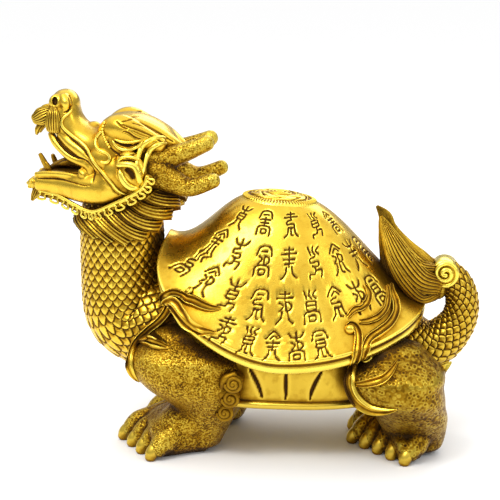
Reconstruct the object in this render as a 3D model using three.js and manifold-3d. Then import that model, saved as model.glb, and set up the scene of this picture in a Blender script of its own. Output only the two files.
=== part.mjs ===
// Dragon turtle: a brass figure cast in one piece. It stands on four paws, with its head raised and its
// mouth open.
// Millimetres, +Z up. The head points along -X. The origin is on the floor under the middle of the figure.

import * as THREE from 'three';
import { LoftGeometry } from 'three/addons/geometries/LoftGeometry.js';
import { mergeVertices } from 'three/addons/utils/BufferGeometryUtils.js';
import Module from 'manifold-3d';

const wasm = await Module();
wasm.setup();

// Shell
const shellLength = 176; // front to rear, in plan
const shellWidth = 140;
const shellHeight = 100; // from the underside of its rim, at the flanks, to its crown
const rimHeight = 64; // the rim's underside above the floor, at the flanks
const rimBand = 9; // height of the upright band round the rim
const frontRise = 65; // how far the rim climbs to its front lip
const rearRise = 24; // and to its rear tip
const lipSetback = 11; // how far the front lip leans back over the shoulders
const medallionWidth = 47;
const medallionRelief = 1.2;

// Belly
const bellyClearance = 36; // between the floor and the belly
const rimOverhang = 13; // how far the rim stands out over the belly's side
const bellyLip = 3; // height of the ridge round the belly's lower edge
const grooveWidth = 2; // of the grooves between the belly's side plates

// Neck and head
const neckThickness = 56; // front to back at the middle of the neck
const chestThickness = 62;
const headLength = 100; // nose to the back of the crown
const headReach = 33; // how far the middle of the skull is ahead of the front lip
const headHeight = 190; // middle of the skull above the floor
const hornThickness = 15;
const hornSpacing = 32; // between the roots of the two horns
const maneWidth = 60;
const maneLocks = 11;

// Legs
const legHeight = 80; // floor to hip
const frontStance = 76; // between the hips of the two front legs
const hindStance = 84;
const stride = 10; // how far the front leg of the +Y side stands behind the other

// Tail
const tailReach = 34; // how far the tail swings out behind the shell
const tailRise = 49; // from the tail's root up to the middle of its roll
const tailThickness = 20; // where the tail turns upwards
const tuftLength = 62; // root to tip of the hair at the tail's end

// Relief
const trimRelief = 2.8; // height of the scrolling bands that run from the legs on to the shell

const TURN = 2 * Math.PI;
const radians = THREE.MathUtils.degToRad;
const mix = THREE.MathUtils.lerp;
const clamp = THREE.MathUtils.clamp;
const vec = (x, y, z) => new THREE.Vector3(x, y, z);
const vec2 = (x, y) => new THREE.Vector2(x, y);
const range = (count) => Array.from({ length: count }, (_, k) => k);
const join = (solids) => solids.reduce((whole, next) => whole.add(next));

// Turns a closed geometry into a solid: corners merged, collapsed faces left out, faces pointing outwards.
function solid({ attributes, index }) {
  const bare = new THREE.BufferGeometry();
  bare.setIndex(index).setAttribute('position', attributes.position);
  const merged = mergeVertices(bare, 1e-3);
  const corner = (at) => new THREE.Vector3().fromBufferAttribute(merged.attributes.position, at);
  const faces = [];
  let volume = 0;
  for (let i = 0; i < merged.index.count; i += 3) {
    const face = [0, 1, 2].map((k) => merged.index.getX(i + k));
    if (new Set(face).size < 3) continue;
    const [a, b, c] = face.map(corner);
    volume += a.dot(b.cross(c)) / 6;
    faces.push(face);
  }
  if (volume < 0) faces.forEach((face) => face.reverse());
  return new wasm.Manifold(
    new wasm.Mesh({
      numProp: 3,
      vertProperties: new Float32Array(merged.attributes.position.array),
      triVerts: new Uint32Array(faces.flat()),
    }),
  );
}

const loft = (sections) => solid(new LoftGeometry(sections));

// Turns a finished solid back into a geometry.
function geometryOf(made) {
  const { numProp, numVert, vertProperties, triVerts } = made.getMesh();
  const positions = new Float32Array(numVert * 3);
  for (let i = 0; i < numVert; i++) {
    positions.set(vertProperties.subarray(i * numProp, i * numProp + 3), i * 3);
  }
  const geometry = new THREE.BufferGeometry();
  geometry.setAttribute('position', new THREE.BufferAttribute(positions, 3));
  geometry.setIndex(new THREE.BufferAttribute(triVerts, 1));
  geometry.computeVertexNormals();
  return geometry;
}

// The same solid on the other side of the figure.
const mirrored = (made) => solid(geometryOf(made).scale(1, -1, 1));

// A rounded oblong's reach in the direction [c, s]. A squareness of 2 is an ellipse.
function oblong(c, s, squareness) {
  return (Math.abs(c) ** squareness + Math.abs(s) ** squareness) ** (-1 / squareness);
}

// A smooth curve through rows of numbers of any length, at t from 0 to 1.
function smooth(rows, t) {
  const last = rows.length - 1;
  const at = clamp(t, 0, 1) * last;
  const i = Math.min(Math.floor(at), last - 1);
  const f = at - i;
  const row = (k) => rows[clamp(k, 0, last)];
  return rows[0].map((_, n) => {
    const [a, b, c, d] = [-1, 0, 1, 2].map((k) => row(i + k)[n]);
    return b + 0.5 * f * (c - a + f * (2 * a - 5 * b + 4 * c - d + f * (3 * (b - c) + d - a)));
  });
}

// A limb through stations [x, y, z, half width, half depth]. The width is measured along `across`, `power`
// squares the section off and `grow` fattens it. The root ends in a cone and the tip in a dome, `dome` times
// the depth long. The sections of a `level` limb lie flat, and those of others stand square to its line.
function limb(
  stations,
  { sides = 10, steps = 8, power = 2, dome = 0.6, grow = 0, across = vec(0, 1, 0), level = false } = {},
) {
  const centre = (t) => vec(...smooth(stations, t).slice(0, 3));
  const heading = (t) => (level ? vec(0, 0, -1) : centre(t + 0.01).sub(centre(t - 0.01)).normalize());
  const ring = (t, ahead, shrink) => {
    const [wide, deep] = smooth(stations, t).slice(3).map((radius) => radius + grow);
    const forward = heading(t);
    const side = across.clone().addScaledVector(forward, -across.dot(forward)).normalize();
    const up = side.clone().cross(forward);
    const middle = centre(t).addScaledVector(forward, ahead * deep * dome);
    return range(sides).map((k) => {
      const [c, s] = [Math.cos((k / sides) * TURN), Math.sin((k / sides) * TURN)];
      const reach = shrink * oblong(c, s, power);
      const point = middle.clone().addScaledVector(side, c * reach * wide);
      return point.addScaledVector(up, s * reach * deep);
    });
  };
  const half = Math.SQRT1_2; // the dome has one ring half way round
  const body = range(steps + 1).map((k) => ring(k / steps, 0, 1));
  return loft([ring(0, -1, 0), ...body, ring(1, half, half), ring(1, 1, 0)]);
}

// A ball of half sizes [x, y, z], leaned by `lean` degrees in the side view.
function ball({ x, y, z }, [rx, ry, rz], { lean = 0, around = 8, rings = 5 } = {}) {
  const geometry = new THREE.SphereGeometry(1, around, rings);
  geometry.scale(rx, ry, rz).rotateY(radians(lean)).translate(x, y, z);
  return solid(geometry);
}

// A cone from a root towards a tip, for teeth.
function spike(root, tip, radius, sides = 4) {
  const along = tip.clone().sub(root);
  const geometry = new THREE.ConeGeometry(radius, along.length(), sides);
  const turned = new THREE.Quaternion().setFromUnitVectors(vec(0, 1, 0), along.normalize());
  geometry.applyQuaternion(turned);
  const { x, y, z } = root.clone().lerp(tip, 0.5);
  return solid(geometry.translate(x, y, z));
}

// A rolled lock of hair: a short cylinder lying across the figure.
function roll({ x, y, z }, radius, width, sides) {
  return solid(new THREE.CylinderGeometry(radius, radius, width, sides).translate(x, y, z));
}

// Free forms are drawn in hundredths of a named size, from an origin of their own.
function drawn(origin, size, rows) {
  const share = size / 100;
  return rows.map(([x, y, z, ...radii]) => [
    origin.x + x * share,
    origin.y + y * share,
    origin.z + z * share,
    ...radii.map((radius) => radius * share),
  ]);
}

// The shell's plan runs round its centre: turn 0 faces the head and a half turn faces the tail.
const shellTop = rimHeight + shellHeight;
const shellCentre = 0;
const shellFront = shellCentre - shellLength / 2;
const shellRear = shellCentre + shellLength / 2;

// Blends a front, flank and rear value round a plan.
function blend(turn, front, flank, rear) {
  const c = Math.cos(turn);
  return mix(flank, c > 0 ? front : rear, c ** 2);
}

function rimPoint(turn) {
  const [c, s] = [Math.cos(turn), Math.sin(turn)];
  const reach = oblong(c, s, c > 0 ? 3 : 2.3);
  const setback = c > 0 ? lipSetback * c ** 8 : 0;
  const rise = blend(turn, frontRise, 0, rearRise);
  return vec(
    shellCentre - (c * reach * shellLength) / 2 + setback,
    (s * reach * shellWidth) / 2,
    rimHeight + rimBand + rise,
  );
}

// The crown is domed and leans a little to the rear, so the medallion's edge is lower than its middle.
const crownSag = 0.04 * shellHeight;
const crownLean = 0.02 * shellHeight;
const crown = vec(shellCentre - 0.034 * shellLength, 0, shellTop);
const turnsRound = (count) => range(count).map((k) => (-k / count) * TURN);

function crownPoint(turn, share) {
  const radius = (medallionWidth / 2) * share;
  const drop = crownSag * share ** 2 - crownLean * Math.cos(turn) * share;
  return vec(crown.x - Math.cos(turn) * radius, Math.sin(turn) * radius * 0.86, crown.z - drop);
}

// A point of the dome: share 0 is the medallion's edge and 1 is the rim. `lift` stands it off the surface.
// The flanks bulge, and the front dips before it turns up into the lip.
function shellPoint(turn, share, lift = 0) {
  const top = crownPoint(turn, 1);
  const rim = rimPoint(turn);
  const shoulder = top.clone().lerp(rim, 1 / 3);
  const skirt = top.clone().lerp(rim, 2 / 3);
  shoulder.z += blend(turn, 0.03, 0.2, 0.09) * shellHeight;
  skirt.z += blend(turn, -0.16, -0.04, -0.12) * shellHeight;
  const profile = new THREE.CubicBezierCurve3(top, shoulder, skirt, rim);
  const outward = vec(-Math.cos(turn), Math.sin(turn), 0);
  const steepness = profile.getTangent(clamp(share, 0, 1)).z;
  const point = profile.getPoint(share);
  point.addScaledVector(outward, lift * Math.max(-steepness, 0.3));
  point.z += lift * Math.sqrt(1 - steepness ** 2);
  return point;
}

function makeShell(lift = 0) {
  const turns = turnsRound(28);
  const domeRings = 5;
  const inward = (turn, share, drop) => {
    const point = shellPoint(turn, 1, lift);
    return point.lerp(vec(shellCentre, 0, point.z), share).add(vec(0, 0, -drop));
  };
  const footing = (turn) => inward(turn, 0.14, 0).setZ(rimHeight + rimBand);
  return loft([
    turns.map(() => vec(shellCentre, 0, rimHeight + rimBand)),
    turns.map(footing),
    turns.map((turn) => inward(turn, 0.1, 0.9 * rimBand)),
    turns.map((turn) => inward(turn, 0.012, rimBand)),
    turns.map((turn) => inward(turn, -0.012, rimBand / 2)),
    ...range(domeRings + 1).map((k) => turns.map((turn) => shellPoint(turn, 1 - k / domeRings, lift))),
    turns.map(() => crown.clone().add(vec(0, 0, lift))),
  ]);
}

// The crown's medallion: a plain border round a ring of petals and a central boss.
function makeMedallion() {
  const petals = 5;
  const turns = turnsRound(petals * 4);
  const profile = [[1.02, -2], [1.02, 1.1], [0.84, 1.1], [0.78, 0.1], [0.6, 1.1], [0.3, 0.1], [0, 1.1]];
  const place = (turn, share, height) => {
    const petal = share === 0.6 ? 0.5 + 0.5 * Math.cos(turn * petals) : 1;
    const point = crownPoint(turn, share);
    point.z += height * petal * medallionRelief;
    return point;
  };
  return loft([
    turns.map(() => vec(crown.x, 0, crown.z - 2 * crownSag)),
    ...profile.map(([share, height]) => turns.map((turn) => place(turn, share, height))),
  ]);
}

// The belly: an upright-sided block under the rim, with a ridge round its lower edge.
const bellyHalfWidth = shellWidth / 2 - rimOverhang;
const bellyHalfLength = shellLength * 0.4;

function makeBelly() {
  const turns = turnsRound(20);
  const top = rimHeight + rimBand;
  const lipTop = bellyClearance + bellyLip;
  const place = (turn, z, inset) => {
    const [c, s] = [Math.cos(turn), Math.sin(turn)];
    const reach = oblong(c, s, 2.6);
    const [long, wide] = [bellyHalfLength - inset, bellyHalfWidth - inset];
    return vec(shellCentre - c * reach * long, s * reach * wide, z);
  };
  const rows = [
    [bellyClearance, 0.5 * bellyLip], [mix(bellyClearance, lipTop, 0.7), 0], [lipTop, 0.6 * bellyLip],
    [top, 0.3 * bellyLip],
  ];
  return loft([
    turns.map(() => vec(shellCentre, 0, bellyClearance)),
    ...rows.map(([z, inset]) => turns.map((turn) => place(turn, z, inset))),
    turns.map(() => vec(shellCentre, 0, top)),
  ]);
}

// The grooves between the plates of one side of the belly fan out upwards.
function makeBellyGrooves() {
  const [low, high] = [bellyClearance + 2 * bellyLip, rimHeight + 0.1 * rimBand];
  const curve = [[-0.3, low], [0, mix(low, high, 0.45)], [0.5, high]];
  const groove = (fan) => {
    const x = shellCentre + (0.01 + 0.11 * fan) * shellLength;
    const lean = 0.08 * shellLength * fan;
    const depth = 1.5 * grooveWidth;
    const rows = curve.map(([bend, z]) => [x + lean * bend, bellyHalfWidth, z, depth, grooveWidth / 2]);
    return limb(rows, { sides: 4, steps: 2, dome: 1 });
  };
  return join([-1, 0, 1].map(groove));
}

// The neck rises from the chest, in front of the shell's lip, up into the skull.
const lipHeight = rimHeight + rimBand + frontRise;
const lipFront = shellFront + lipSetback;
const skull = vec(lipFront - headReach, 0, headHeight);
const neckMiddle = vec(lipFront - 0.56 * neckThickness, 0, mix(bellyClearance, lipHeight, 0.6));

function makeNeck() {
  const half = neckThickness / 2;
  const chest = chestThickness / 2;
  const chestHeight = bellyClearance + chest;
  return limb(
    [
      [shellCentre - 0.3 * shellLength, 0, chestHeight * 1.02, chest * 1.05, chest * 0.95],
      [shellFront + 0.14 * shellLength, 0, chestHeight * 1.03, chest * 1.16, chest * 0.96],
      [neckMiddle.x + half * 0.57, 0, chestHeight * 1.16, chest * 1.1, chest],
      [neckMiddle.x + half * 0.1, 0, mix(chestHeight, neckMiddle.z, 0.6), chest * 0.96, half * 1.02],
      [neckMiddle.x, 0, neckMiddle.z + half * 0.36, half * 0.98, half * 0.98],
      [mix(neckMiddle.x, skull.x, 0.3), 0, mix(neckMiddle.z, skull.z, 0.5), half * 0.88, half * 0.94],
      [skull.x + half * 0.07, 0, skull.z - half * 0.5, half * 0.8, half * 0.8],
    ],
    { sides: 12, steps: 8, dome: 0.3 },
  );
}

// Head. Its forms are drawn in hundredths of the head's length, from the middle of the skull. What comes in
// pairs is drawn on the +Y side only.
const inHead = (rows) => drawn(skull, headLength, rows);
const headPoint = (x, y, z) => vec(...inHead([[x, y, z]])[0]);
const headShare = (...sizes) => sizes.map((size) => (size * headLength) / 100);
const headLimb = (rows, options) => limb(inHead(rows), options);
const headBall = (at, sizes, options) => ball(headPoint(...at), headShare(...sizes), options);
const headSpike = (root, tip, radius) => spike(headPoint(...root), headPoint(...tip), ...headShare(radius));

function makeSkull() {
  const cranium = headLimb(
    [
      [34, 0, -3, 14, 11], [22, 0, 3, 22, 17], [8, 0, 5, 26, 20], [-5, 0, 3, 26, 18.5],
      [-13, 0, 3, 22.5, 14.5], [-20, 0, 6, 18.5, 11.5], [-27, 0, 11.5, 16, 9.8], [-32, 0, 19, 14.5, 9.4],
      [-34, 0, 27, 13, 9.2],
    ],
    { sides: 10, steps: 8, power: 2.3, dome: 0.5 },
  );
  const nose = headBall([-34, 0, 30], [9.4, 11.5, 9.4], { around: 10, rings: 5 });
  const bridgeBump = headBall([-18, 0, 15.5], [4.6, 5.5, 4.4], { around: 6, rings: 4 });
  return join([cranium, nose, bridgeBump]);
}

function makeFace() {
  const lip = headLimb(
    [[-42, 8, 14, 4, 3], [-32.5, 13.5, 3.5, 4.4, 3], [-20, 18.5, -4.5, 4.6, 3], [-13.5, 22, -11, 4, 2.8]],
    { sides: 5, steps: 3 },
  );
  const brow = headLimb(
    [[-5, 14, 14, 7, 7], [4, 18, 17, 9, 9], [16, 20, 12, 7, 8], [30, 18, 6, 4, 5]],
    { sides: 6, steps: 3 },
  );
  const hair = headLimb(
    [[0, 7, 17, 8, 7], [12, 9, 18.5, 10, 8], [27, 8, 12, 9, 7], [41, 6, 3, 4, 3.4]],
    { sides: 6, steps: 3 },
  );
  const ear = headLimb(
    [[5, 28, 0, 3, 5], [9, 31, -1.5, 3.6, 8.5], [12, 33.5, -9, 3.4, 8.8], [16, 33.5, -19, 2.6, 5]],
    { sides: 5, steps: 3 },
  );
  return join([lip, brow, hair, ear]);
}

// The moustache is two fans of hair on each side of the nose.
function makeMoustache() {
  const ahead = [[-39, 5, 25, 4, 4], [-48, 7, 25.5, 6, 5], [-55.5, 8, 22, 2.6, 3]];
  const below = [[-39, 9, 24, 4, 4], [-43, 13, 18, 5.4, 6], [-43, 13, 12, 3, 3.6]];
  return join([ahead, below].map((rows) => headLimb(rows, { sides: 5, steps: 2 })));
}

function makeJaw() {
  const jaw = headLimb(
    [
      [20, 0, -8, 27, 12], [12, 0, -10, 29, 13], [1, 0, -16, 30, 13.5], [-8, 0, -20.5, 28.5, 14.5],
      [-16, 0, -22, 25, 12.8], [-23, 0, -21.2, 20.5, 9.2], [-31, 0, -19.4, 17.5, 6.6],
      [-42, 0, -19.6, 14, 6.2], [-53, 0, -20, 9.5, 5.8],
    ],
    { sides: 10, steps: 7, power: 2.4, dome: 0.5 },
  );
  const trough = headLimb(
    [[-10, 0, -9, 15, 8], [-24, 0, -12, 14, 6], [-38, 0, -13, 11, 5.2], [-51, 0, -13.5, 6, 4.4]],
    { sides: 6, steps: 3 },
  );
  const tongue = headLimb(
    [[0, 0, -12, 9, 5], [-20, 0, -14, 9, 4.2], [-43, 0, -11, 5, 2.2]],
    { sides: 6, steps: 2 },
  );
  return jaw.subtract(trough).add(tongue);
}

// Teeth, and the beard's lock on the chin.
function makeTeeth() {
  const beard = [[-52, 3, -20, 4, 6], [-58, 3.4, -31, 3.8, 4.4], [-61, 3, -36, 2.4, 2.6]];
  return join([
    headSpike([-46, 7, 18], [-50.5, 7, 9], 3),
    headSpike([-21, 18, -7], [-14.5, 19, -17], 5),
    headSpike([-48, 7.5, -16], [-52, 8.5, -2], 3.4),
    headLimb(beard, { sides: 5, steps: 2 }),
  ]);
}

// The toothed frill that runs along the jaw from the chin to behind the ear.
function makeFrill() {
  const path = [
    [-51, 7, -24], [-36, 14, -24], [-25, 20, -30], [-18, 23.5, -34.5], [-11, 26, -35], [0, 29, -30],
    [12, 31.5, -24], [20, 33, -18], [23, 32.5, -11],
  ];
  const teeth = 10;
  const section = (k) => {
    const t = k / (2 * teeth);
    const [x, y, z] = smooth(path, t);
    const tilt = mix(-0.6, 1.3, t);
    const reach = k % 2 ? 8.5 : 3.2;
    const end = k === 0 || k === 2 * teeth ? 0.3 : 1;
    const out = (inset, aside) => headPoint(
      x + inset * end * Math.sin(tilt),
      y + aside * end,
      z - inset * end * Math.cos(tilt),
    );
    return [out(-3, -3), out(-1, 2.6), out(reach, 2)];
  };
  const sections = range(2 * teeth + 1).map(section);
  const cap = (corners) => corners.map(() => corners[0].clone());
  return loft([cap(sections[0]), ...sections, cap(sections[2 * teeth])]);
}

// The mane: a collar of overlapping locks that sweep back round the neck, each one stepping over the next.
function makeMane() {
  const pointsPerLock = 3;
  const rings = 3;
  const around = maneLocks * pointsPerLock;
  const radius = (maneWidth / headLength) * 50;
  const sweep = 1.8; // locks that each hair crosses on its way down
  const place = (k, down) => {
    const turn = (-k / around) * TURN;
    const step = (k / pointsPerLock + sweep * down) % 1;
    const bulge = 0.86 + 0.2 * Math.sin(down * 2.5) + 0.17 * down * (0.5 - step);
    const top = blend(turn, 36, 30, 13);
    const hang = blend(turn, 48, 56, 43) + 6 * (0.5 - step);
    const [x, y] = [7 - Math.cos(turn) * radius * 1.13 * bulge, Math.sin(turn) * radius * bulge];
    return headPoint(x, y, -mix(top, hang, down));
  };
  const end = (depth) => range(around).map(() => headPoint(7, 0, depth));
  const ring = (down) => range(around).map((k) => place(k, down));
  const underside = ring(1).map((point) => point.lerp(headPoint(7, 0, -48), 0.2));
  return loft([end(-16), ...range(rings + 1).map((r) => ring(r / rings)), underside, end(-46)]);
}

// Each horn is a thick stem that parts into two prongs. The upper prongs lean in and the lower ones spread.
function makeHorn() {
  const girth = (hornThickness / headLength) * 100;
  const root = (hornSpacing / headLength) * 50;
  const branch = (rows) => {
    const stations = rows.map(([x, y, z, size]) => [x, root + y, z, girth * size * 0.92, girth * size]);
    return headLimb(stations, { sides: 6, steps: 4, dome: 0.9 });
  };
  const upper = [
    [12, -2, -4, 0.86], [24, -2, -4, 0.74], [36, -2, -1, 0.48], [49, -3, 4.5, 0.36], [60, -5, 9.5, 0.3],
  ];
  const lower = [
    [14, -2, -8, 0.8], [26, 0, -11, 0.74], [37, 3, -15.5, 0.5], [49, 6, -19, 0.38], [65, 9, -13, 0.3],
  ];
  return branch(upper).add(branch(lower));
}

// Legs are drawn in hundredths of their height, from the floor under the hip. Their paws are splayed: the
// toes' tips stand on a line turned by `toeLine` degrees, and each toe points outwards by its own share of
// the fan.
const legForms = {
  front: {
    hip: vec(shellFront + 0.16 * shellLength, frontStance / 2, 0),
    upper: [
      [-3, -2, 98, 20, 28], [-3, 4, 85, 30, 43], [-0.5, 5, 71, 31, 45.2], [4, 3.5, 58, 30, 39.5],
      [10.5, 0, 47, 27, 31.3], [13.5, -4, 38, 25, 26], [8.5, -10, 22, 22.5, 22.5], [3.5, -14, 7, 22, 20],
    ],
    paw: [[8, -14, 15, 21, 18], [-12, -9, 18, 26, 20.5], [-30, -5, 15, 28, 18.5]],
    toes: { count: 4, middle: [-43, -1], halfWidth: 27, toeLine: 33, heading: 20, fan: 14, thickness: 8.8 },
  },
  hind: {
    hip: vec(shellRear - 0.13 * shellLength, hindStance / 2, 0),
    upper: [
      [3, -3, 91, 20, 26], [6.5, 4, 76, 32, 37.5], [7.5, 5, 64, 32.5, 36.5], [11.5, 3, 54, 31, 34],
      [16.5, -3, 44, 27.5, 29.8], [20, -10, 33, 24.5, 28.5], [20.5, -19, 15, 21, 27.5], [19, -20, 7, 19, 27],
    ],
    paw: [[20, -18, 14, 22, 16], [2, -14, 14, 29, 18]],
    toes: { count: 5, middle: [-5, -14], halfWidth: 31, toeLine: 42, heading: 30, fan: 22, thickness: 9.2 },
  },
};

const inLeg = ({ hip }, rows) => drawn(hip, legHeight, rows);

function makeUpperLeg(form, grow = 0) {
  const steps = form.upper.length - 1;
  return limb(inLeg(form, form.upper), { sides: 10, steps, power: 2.3, dome: 0.3, grow, level: true });
}

function makePaw(form) {
  const { count, middle, halfWidth, toeLine, heading, fan, thickness } = form.toes;
  const [s, c] = [Math.sin(radians(toeLine)), Math.cos(radians(toeLine))];
  const toe = (k) => {
    const across = mix(-1, 1, k / (count - 1));
    const angle = radians(heading + across * fan);
    const tip = [middle[0] + s * across * halfWidth, middle[1] + c * across * halfWidth];
    const at = (back, z, ...sizes) => [
      tip[0] + Math.cos(angle) * back,
      tip[1] - Math.sin(angle) * back,
      z,
      ...sizes.map((size) => size * thickness),
    ];
    const knuckles = [at(26, 17.5, 1, 1), at(13, 15.5, 1.14, 1.14), at(5, 9, 0.9, 0.9)];
    const nail = at(-3, 3, 0.5, 0.5);
    return limb(inLeg(form, [...knuckles, nail]), { sides: 5, steps: 3 });
  };
  const steps = form.paw.length - 1;
  const pad = limb(inLeg(form, form.paw), { sides: 8, steps, power: 2.5, dome: 0.35, across: vec(s, c, 0) });
  return join([pad, ...range(count).map(toe)]);
}

// Three rolled locks of hair run down the back of the front leg.
function makeLegHair() {
  const rolls = inLeg(legForms.front, [[36, 28, 70, 7.6], [33, 23, 56, 7.8], [28, 16, 42, 7.2]]);
  return join(rolls.map(([x, y, z, radius]) => roll(vec(x, y, z), radius, 2.4 * radius, 6)));
}

// Tail: a thick root that swings out and up, ends in a rolled lock, and throws a tuft of hair on to the
// shell.
const tailRoot = vec(shellRear - 0.15 * tailReach, 0, 1.03 * rimHeight);
const tailRoll = vec(tailRoot.x + 0.52 * tailReach, 0, tailRoot.z + tailRise);

function makeTail() {
  const half = tailThickness / 2;
  const path = [
    [-0.7, 0.1, 1.6], [-0.1, -0.02, 1.65], [0.42, 0.02, 1.45], [0.78, 0.29, 1.14], [0.87, 0.57, 1],
    [0.76, 0.82, 0.94], [0.52, 0.98, 0.86],
  ];
  const station = ([out, rise, size]) => [
    tailRoot.x + out * tailReach, 0, tailRoot.z + rise * tailRise, half * size, half * size,
  ];
  const tuft = [
    [-4, 0, -16, 16, 15], [-24, 0, -12, 23, 26], [-42, 0, 8, 22, 26], [-56, 0, 34, 14, 17],
    [-65, 0, 54, 5, 6.5], [-70, 0, 66, 1.6, 1.8],
  ];
  return join([
    limb(path.map(station), { sides: 8, steps: 8, dome: 0.5 }),
    roll(tailRoll, half * 0.96, 2.2 * half, 10),
    limb(drawn(tailRoll, tuftLength, tuft), { sides: 8, steps: 6 }),
  ]);
}

function makeTuftLock() {
  const lock = [
    [-10, 12, -14, 10, 12], [-28, 20, -6, 12, 15], [-46, 18, 16, 10, 14], [-60, 9, 42, 5, 7],
    [-66, 4, 56, 1.6, 2],
  ];
  return limb(drawn(tailRoll, tuftLength, lock), { sides: 6, steps: 4 });
}

// Trim: scrolling bands drawn in the side view, which lie in relief on the legs and the shell. Each station
// is [x, z, half width]. On a leg it is in hundredths of the leg's height from the floor under the hip. On
// the shell, x is in hundredths of its length and the rest in hundredths of its height, from the foot of its
// front edge.
const trimBands = [
  // the front flame: up the front of the leg, over the rim, and back along the shell in two tongues
  {
    leg: legForms.front,
    onLeg: [[-35, 64, 2], [-42, 80, 4]],
    onShell: [[0, 18, 3.3], [6, 33, 4], [12, 37, 5], [18, 27, 4.6], [26, 22, 0.8]],
  },
  { onShell: [[8, 39, 3], [14, 42, 4.6], [20, 41, 3.6], [27, 35, 0.8]] },
  // the hind flame: up the thigh and over the rim, with a branch to the rear
  {
    leg: legForms.hind,
    onLeg: [[0, 62, 1], [-18, 64, 3.5], [-28, 75, 4.2]],
    onShell: [[75, 16, 3.4], [75, 30, 3], [78.5, 42, 0.8]],
  },
  { onShell: [[76, 25, 3], [83, 27, 3.2], [86, 35, 2.8], [85.4, 46, 0.8]] },
];

function bandOutline({ leg, onLeg = [], onShell }, setback) {
  const back = leg === legForms.front ? setback : 0;
  const low = onLeg.map(([x, z, half]) => [
    leg.hip.x + back + (x * legHeight) / 100, (z * legHeight) / 100, (half * legHeight) / 100,
  ]);
  const high = onShell.map(([x, z, half]) => [
    shellFront + (x * shellLength) / 100, rimHeight + (z * shellHeight) / 100, (half * shellHeight) / 100,
  ]);
  const stations = [...low, ...high];
  const last = stations.length - 1;
  const points = stations.map(([x, z]) => vec2(x, z));
  const edge = (sign) =>
    points.map((point, k) => {
      const along = points[Math.min(k + 1, last)].clone().sub(points[Math.max(k - 1, 0)]).normalize();
      return point.clone().add(vec2(-along.y, along.x).multiplyScalar(sign * stations[k][2]));
    });
  return new THREE.Shape([...edge(1), ...edge(-1).reverse()]);
}

// Extrudes an outline drawn in the side view from inside the +Y legs out through that side.
function sideways(shape) {
  const start = 0.44 * Math.min(frontStance, hindStance);
  const geometry = new THREE.ExtrudeGeometry(shape, { depth: shellWidth, bevelEnabled: false });
  geometry.rotateX(Math.PI / 2).scale(1, -1, 1).translate(0, start, 0);
  geometry.setIndex(range(geometry.attributes.position.count));
  return solid(geometry);
}

// The trim of one side, whose front leg is set back.
function makeTrim(setback) {
  const bands = trimBands.map((band) => sideways(bandOutline(band, setback)));
  const front = makeUpperLeg(legForms.front, trimRelief).translate([setback, 0, 0]);
  const hind = makeUpperLeg(legForms.hind, trimRelief);
  return join(bands).intersect(join([makeShell(trimRelief), front, hind]));
}

// The soles are flat: whatever reaches below the floor is cut away.
function makeFloor() {
  const size = 4 * shellLength;
  return solid(new THREE.BoxGeometry(size, size, size).translate(0, 0, -size / 2));
}

const leg = (form) => makeUpperLeg(form).add(makePaw(form));
const frontLeg = leg(legForms.front).add(makeLegHair());
const frontSide = (setback) => frontLeg.translate([setback, 0, 0]).add(makeTrim(setback));
const hindLeg = leg(legForms.hind);
const half = join([
  hindLeg, makeFace(), makeMoustache(), makeTeeth(), makeFrill(), makeHorn(), makeTuftLock(),
]);
const spine = join([
  makeShell(), makeMedallion(), makeBelly(), makeNeck(), makeSkull(), makeJaw(), makeMane(), makeTail(),
]);
const grooves = makeBellyGrooves();
const figure = spine
  .subtract(grooves)
  .subtract(mirrored(grooves))
  .add(half)
  .add(mirrored(half))
  .add(frontSide(stride))
  .add(mirrored(frontSide(0)))
  .subtract(makeFloor());

const brass = new THREE.MeshStandardMaterial({ color: 0xd9a52b, metalness: 1, roughness: 0.32 });
const mesh = new THREE.Mesh(geometryOf(figure), brass);
mesh.name = 'dragon_turtle';

const middle = new THREE.Box3().setFromObject(mesh).getCenter(vec(0, 0, 0));
mesh.position.set(-middle.x, -middle.y, 0);

const dragonTurtle = new THREE.Group();
dragonTurtle.add(mesh);

export default dragonTurtle;
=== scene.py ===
import math

import bpy
import numpy as np
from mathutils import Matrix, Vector
from mathutils.bvhtree import BVHTree


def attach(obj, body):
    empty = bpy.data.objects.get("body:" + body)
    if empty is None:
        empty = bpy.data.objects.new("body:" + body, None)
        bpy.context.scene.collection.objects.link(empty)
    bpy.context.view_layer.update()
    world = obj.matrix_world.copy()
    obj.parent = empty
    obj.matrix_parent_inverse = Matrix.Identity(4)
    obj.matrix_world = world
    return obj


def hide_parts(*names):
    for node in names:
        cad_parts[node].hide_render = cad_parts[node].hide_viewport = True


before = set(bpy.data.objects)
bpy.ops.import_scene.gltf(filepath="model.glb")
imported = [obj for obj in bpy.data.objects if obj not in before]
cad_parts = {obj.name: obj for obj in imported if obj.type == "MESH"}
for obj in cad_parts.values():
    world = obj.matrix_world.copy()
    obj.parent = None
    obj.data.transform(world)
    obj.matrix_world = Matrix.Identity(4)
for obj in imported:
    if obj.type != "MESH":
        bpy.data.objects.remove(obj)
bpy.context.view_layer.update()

# Forms are worked out in millimetres in the frame of the model: the head points along -X, and the near side
# is -Y. What comes in pairs is drawn on the +Y side.
MM = 0.001
TURN = 2 * math.pi
BESIDE = 200  # a place outside the figure, on its +Y side
CAP = 6  # rings in the rounded end of a limb

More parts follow.
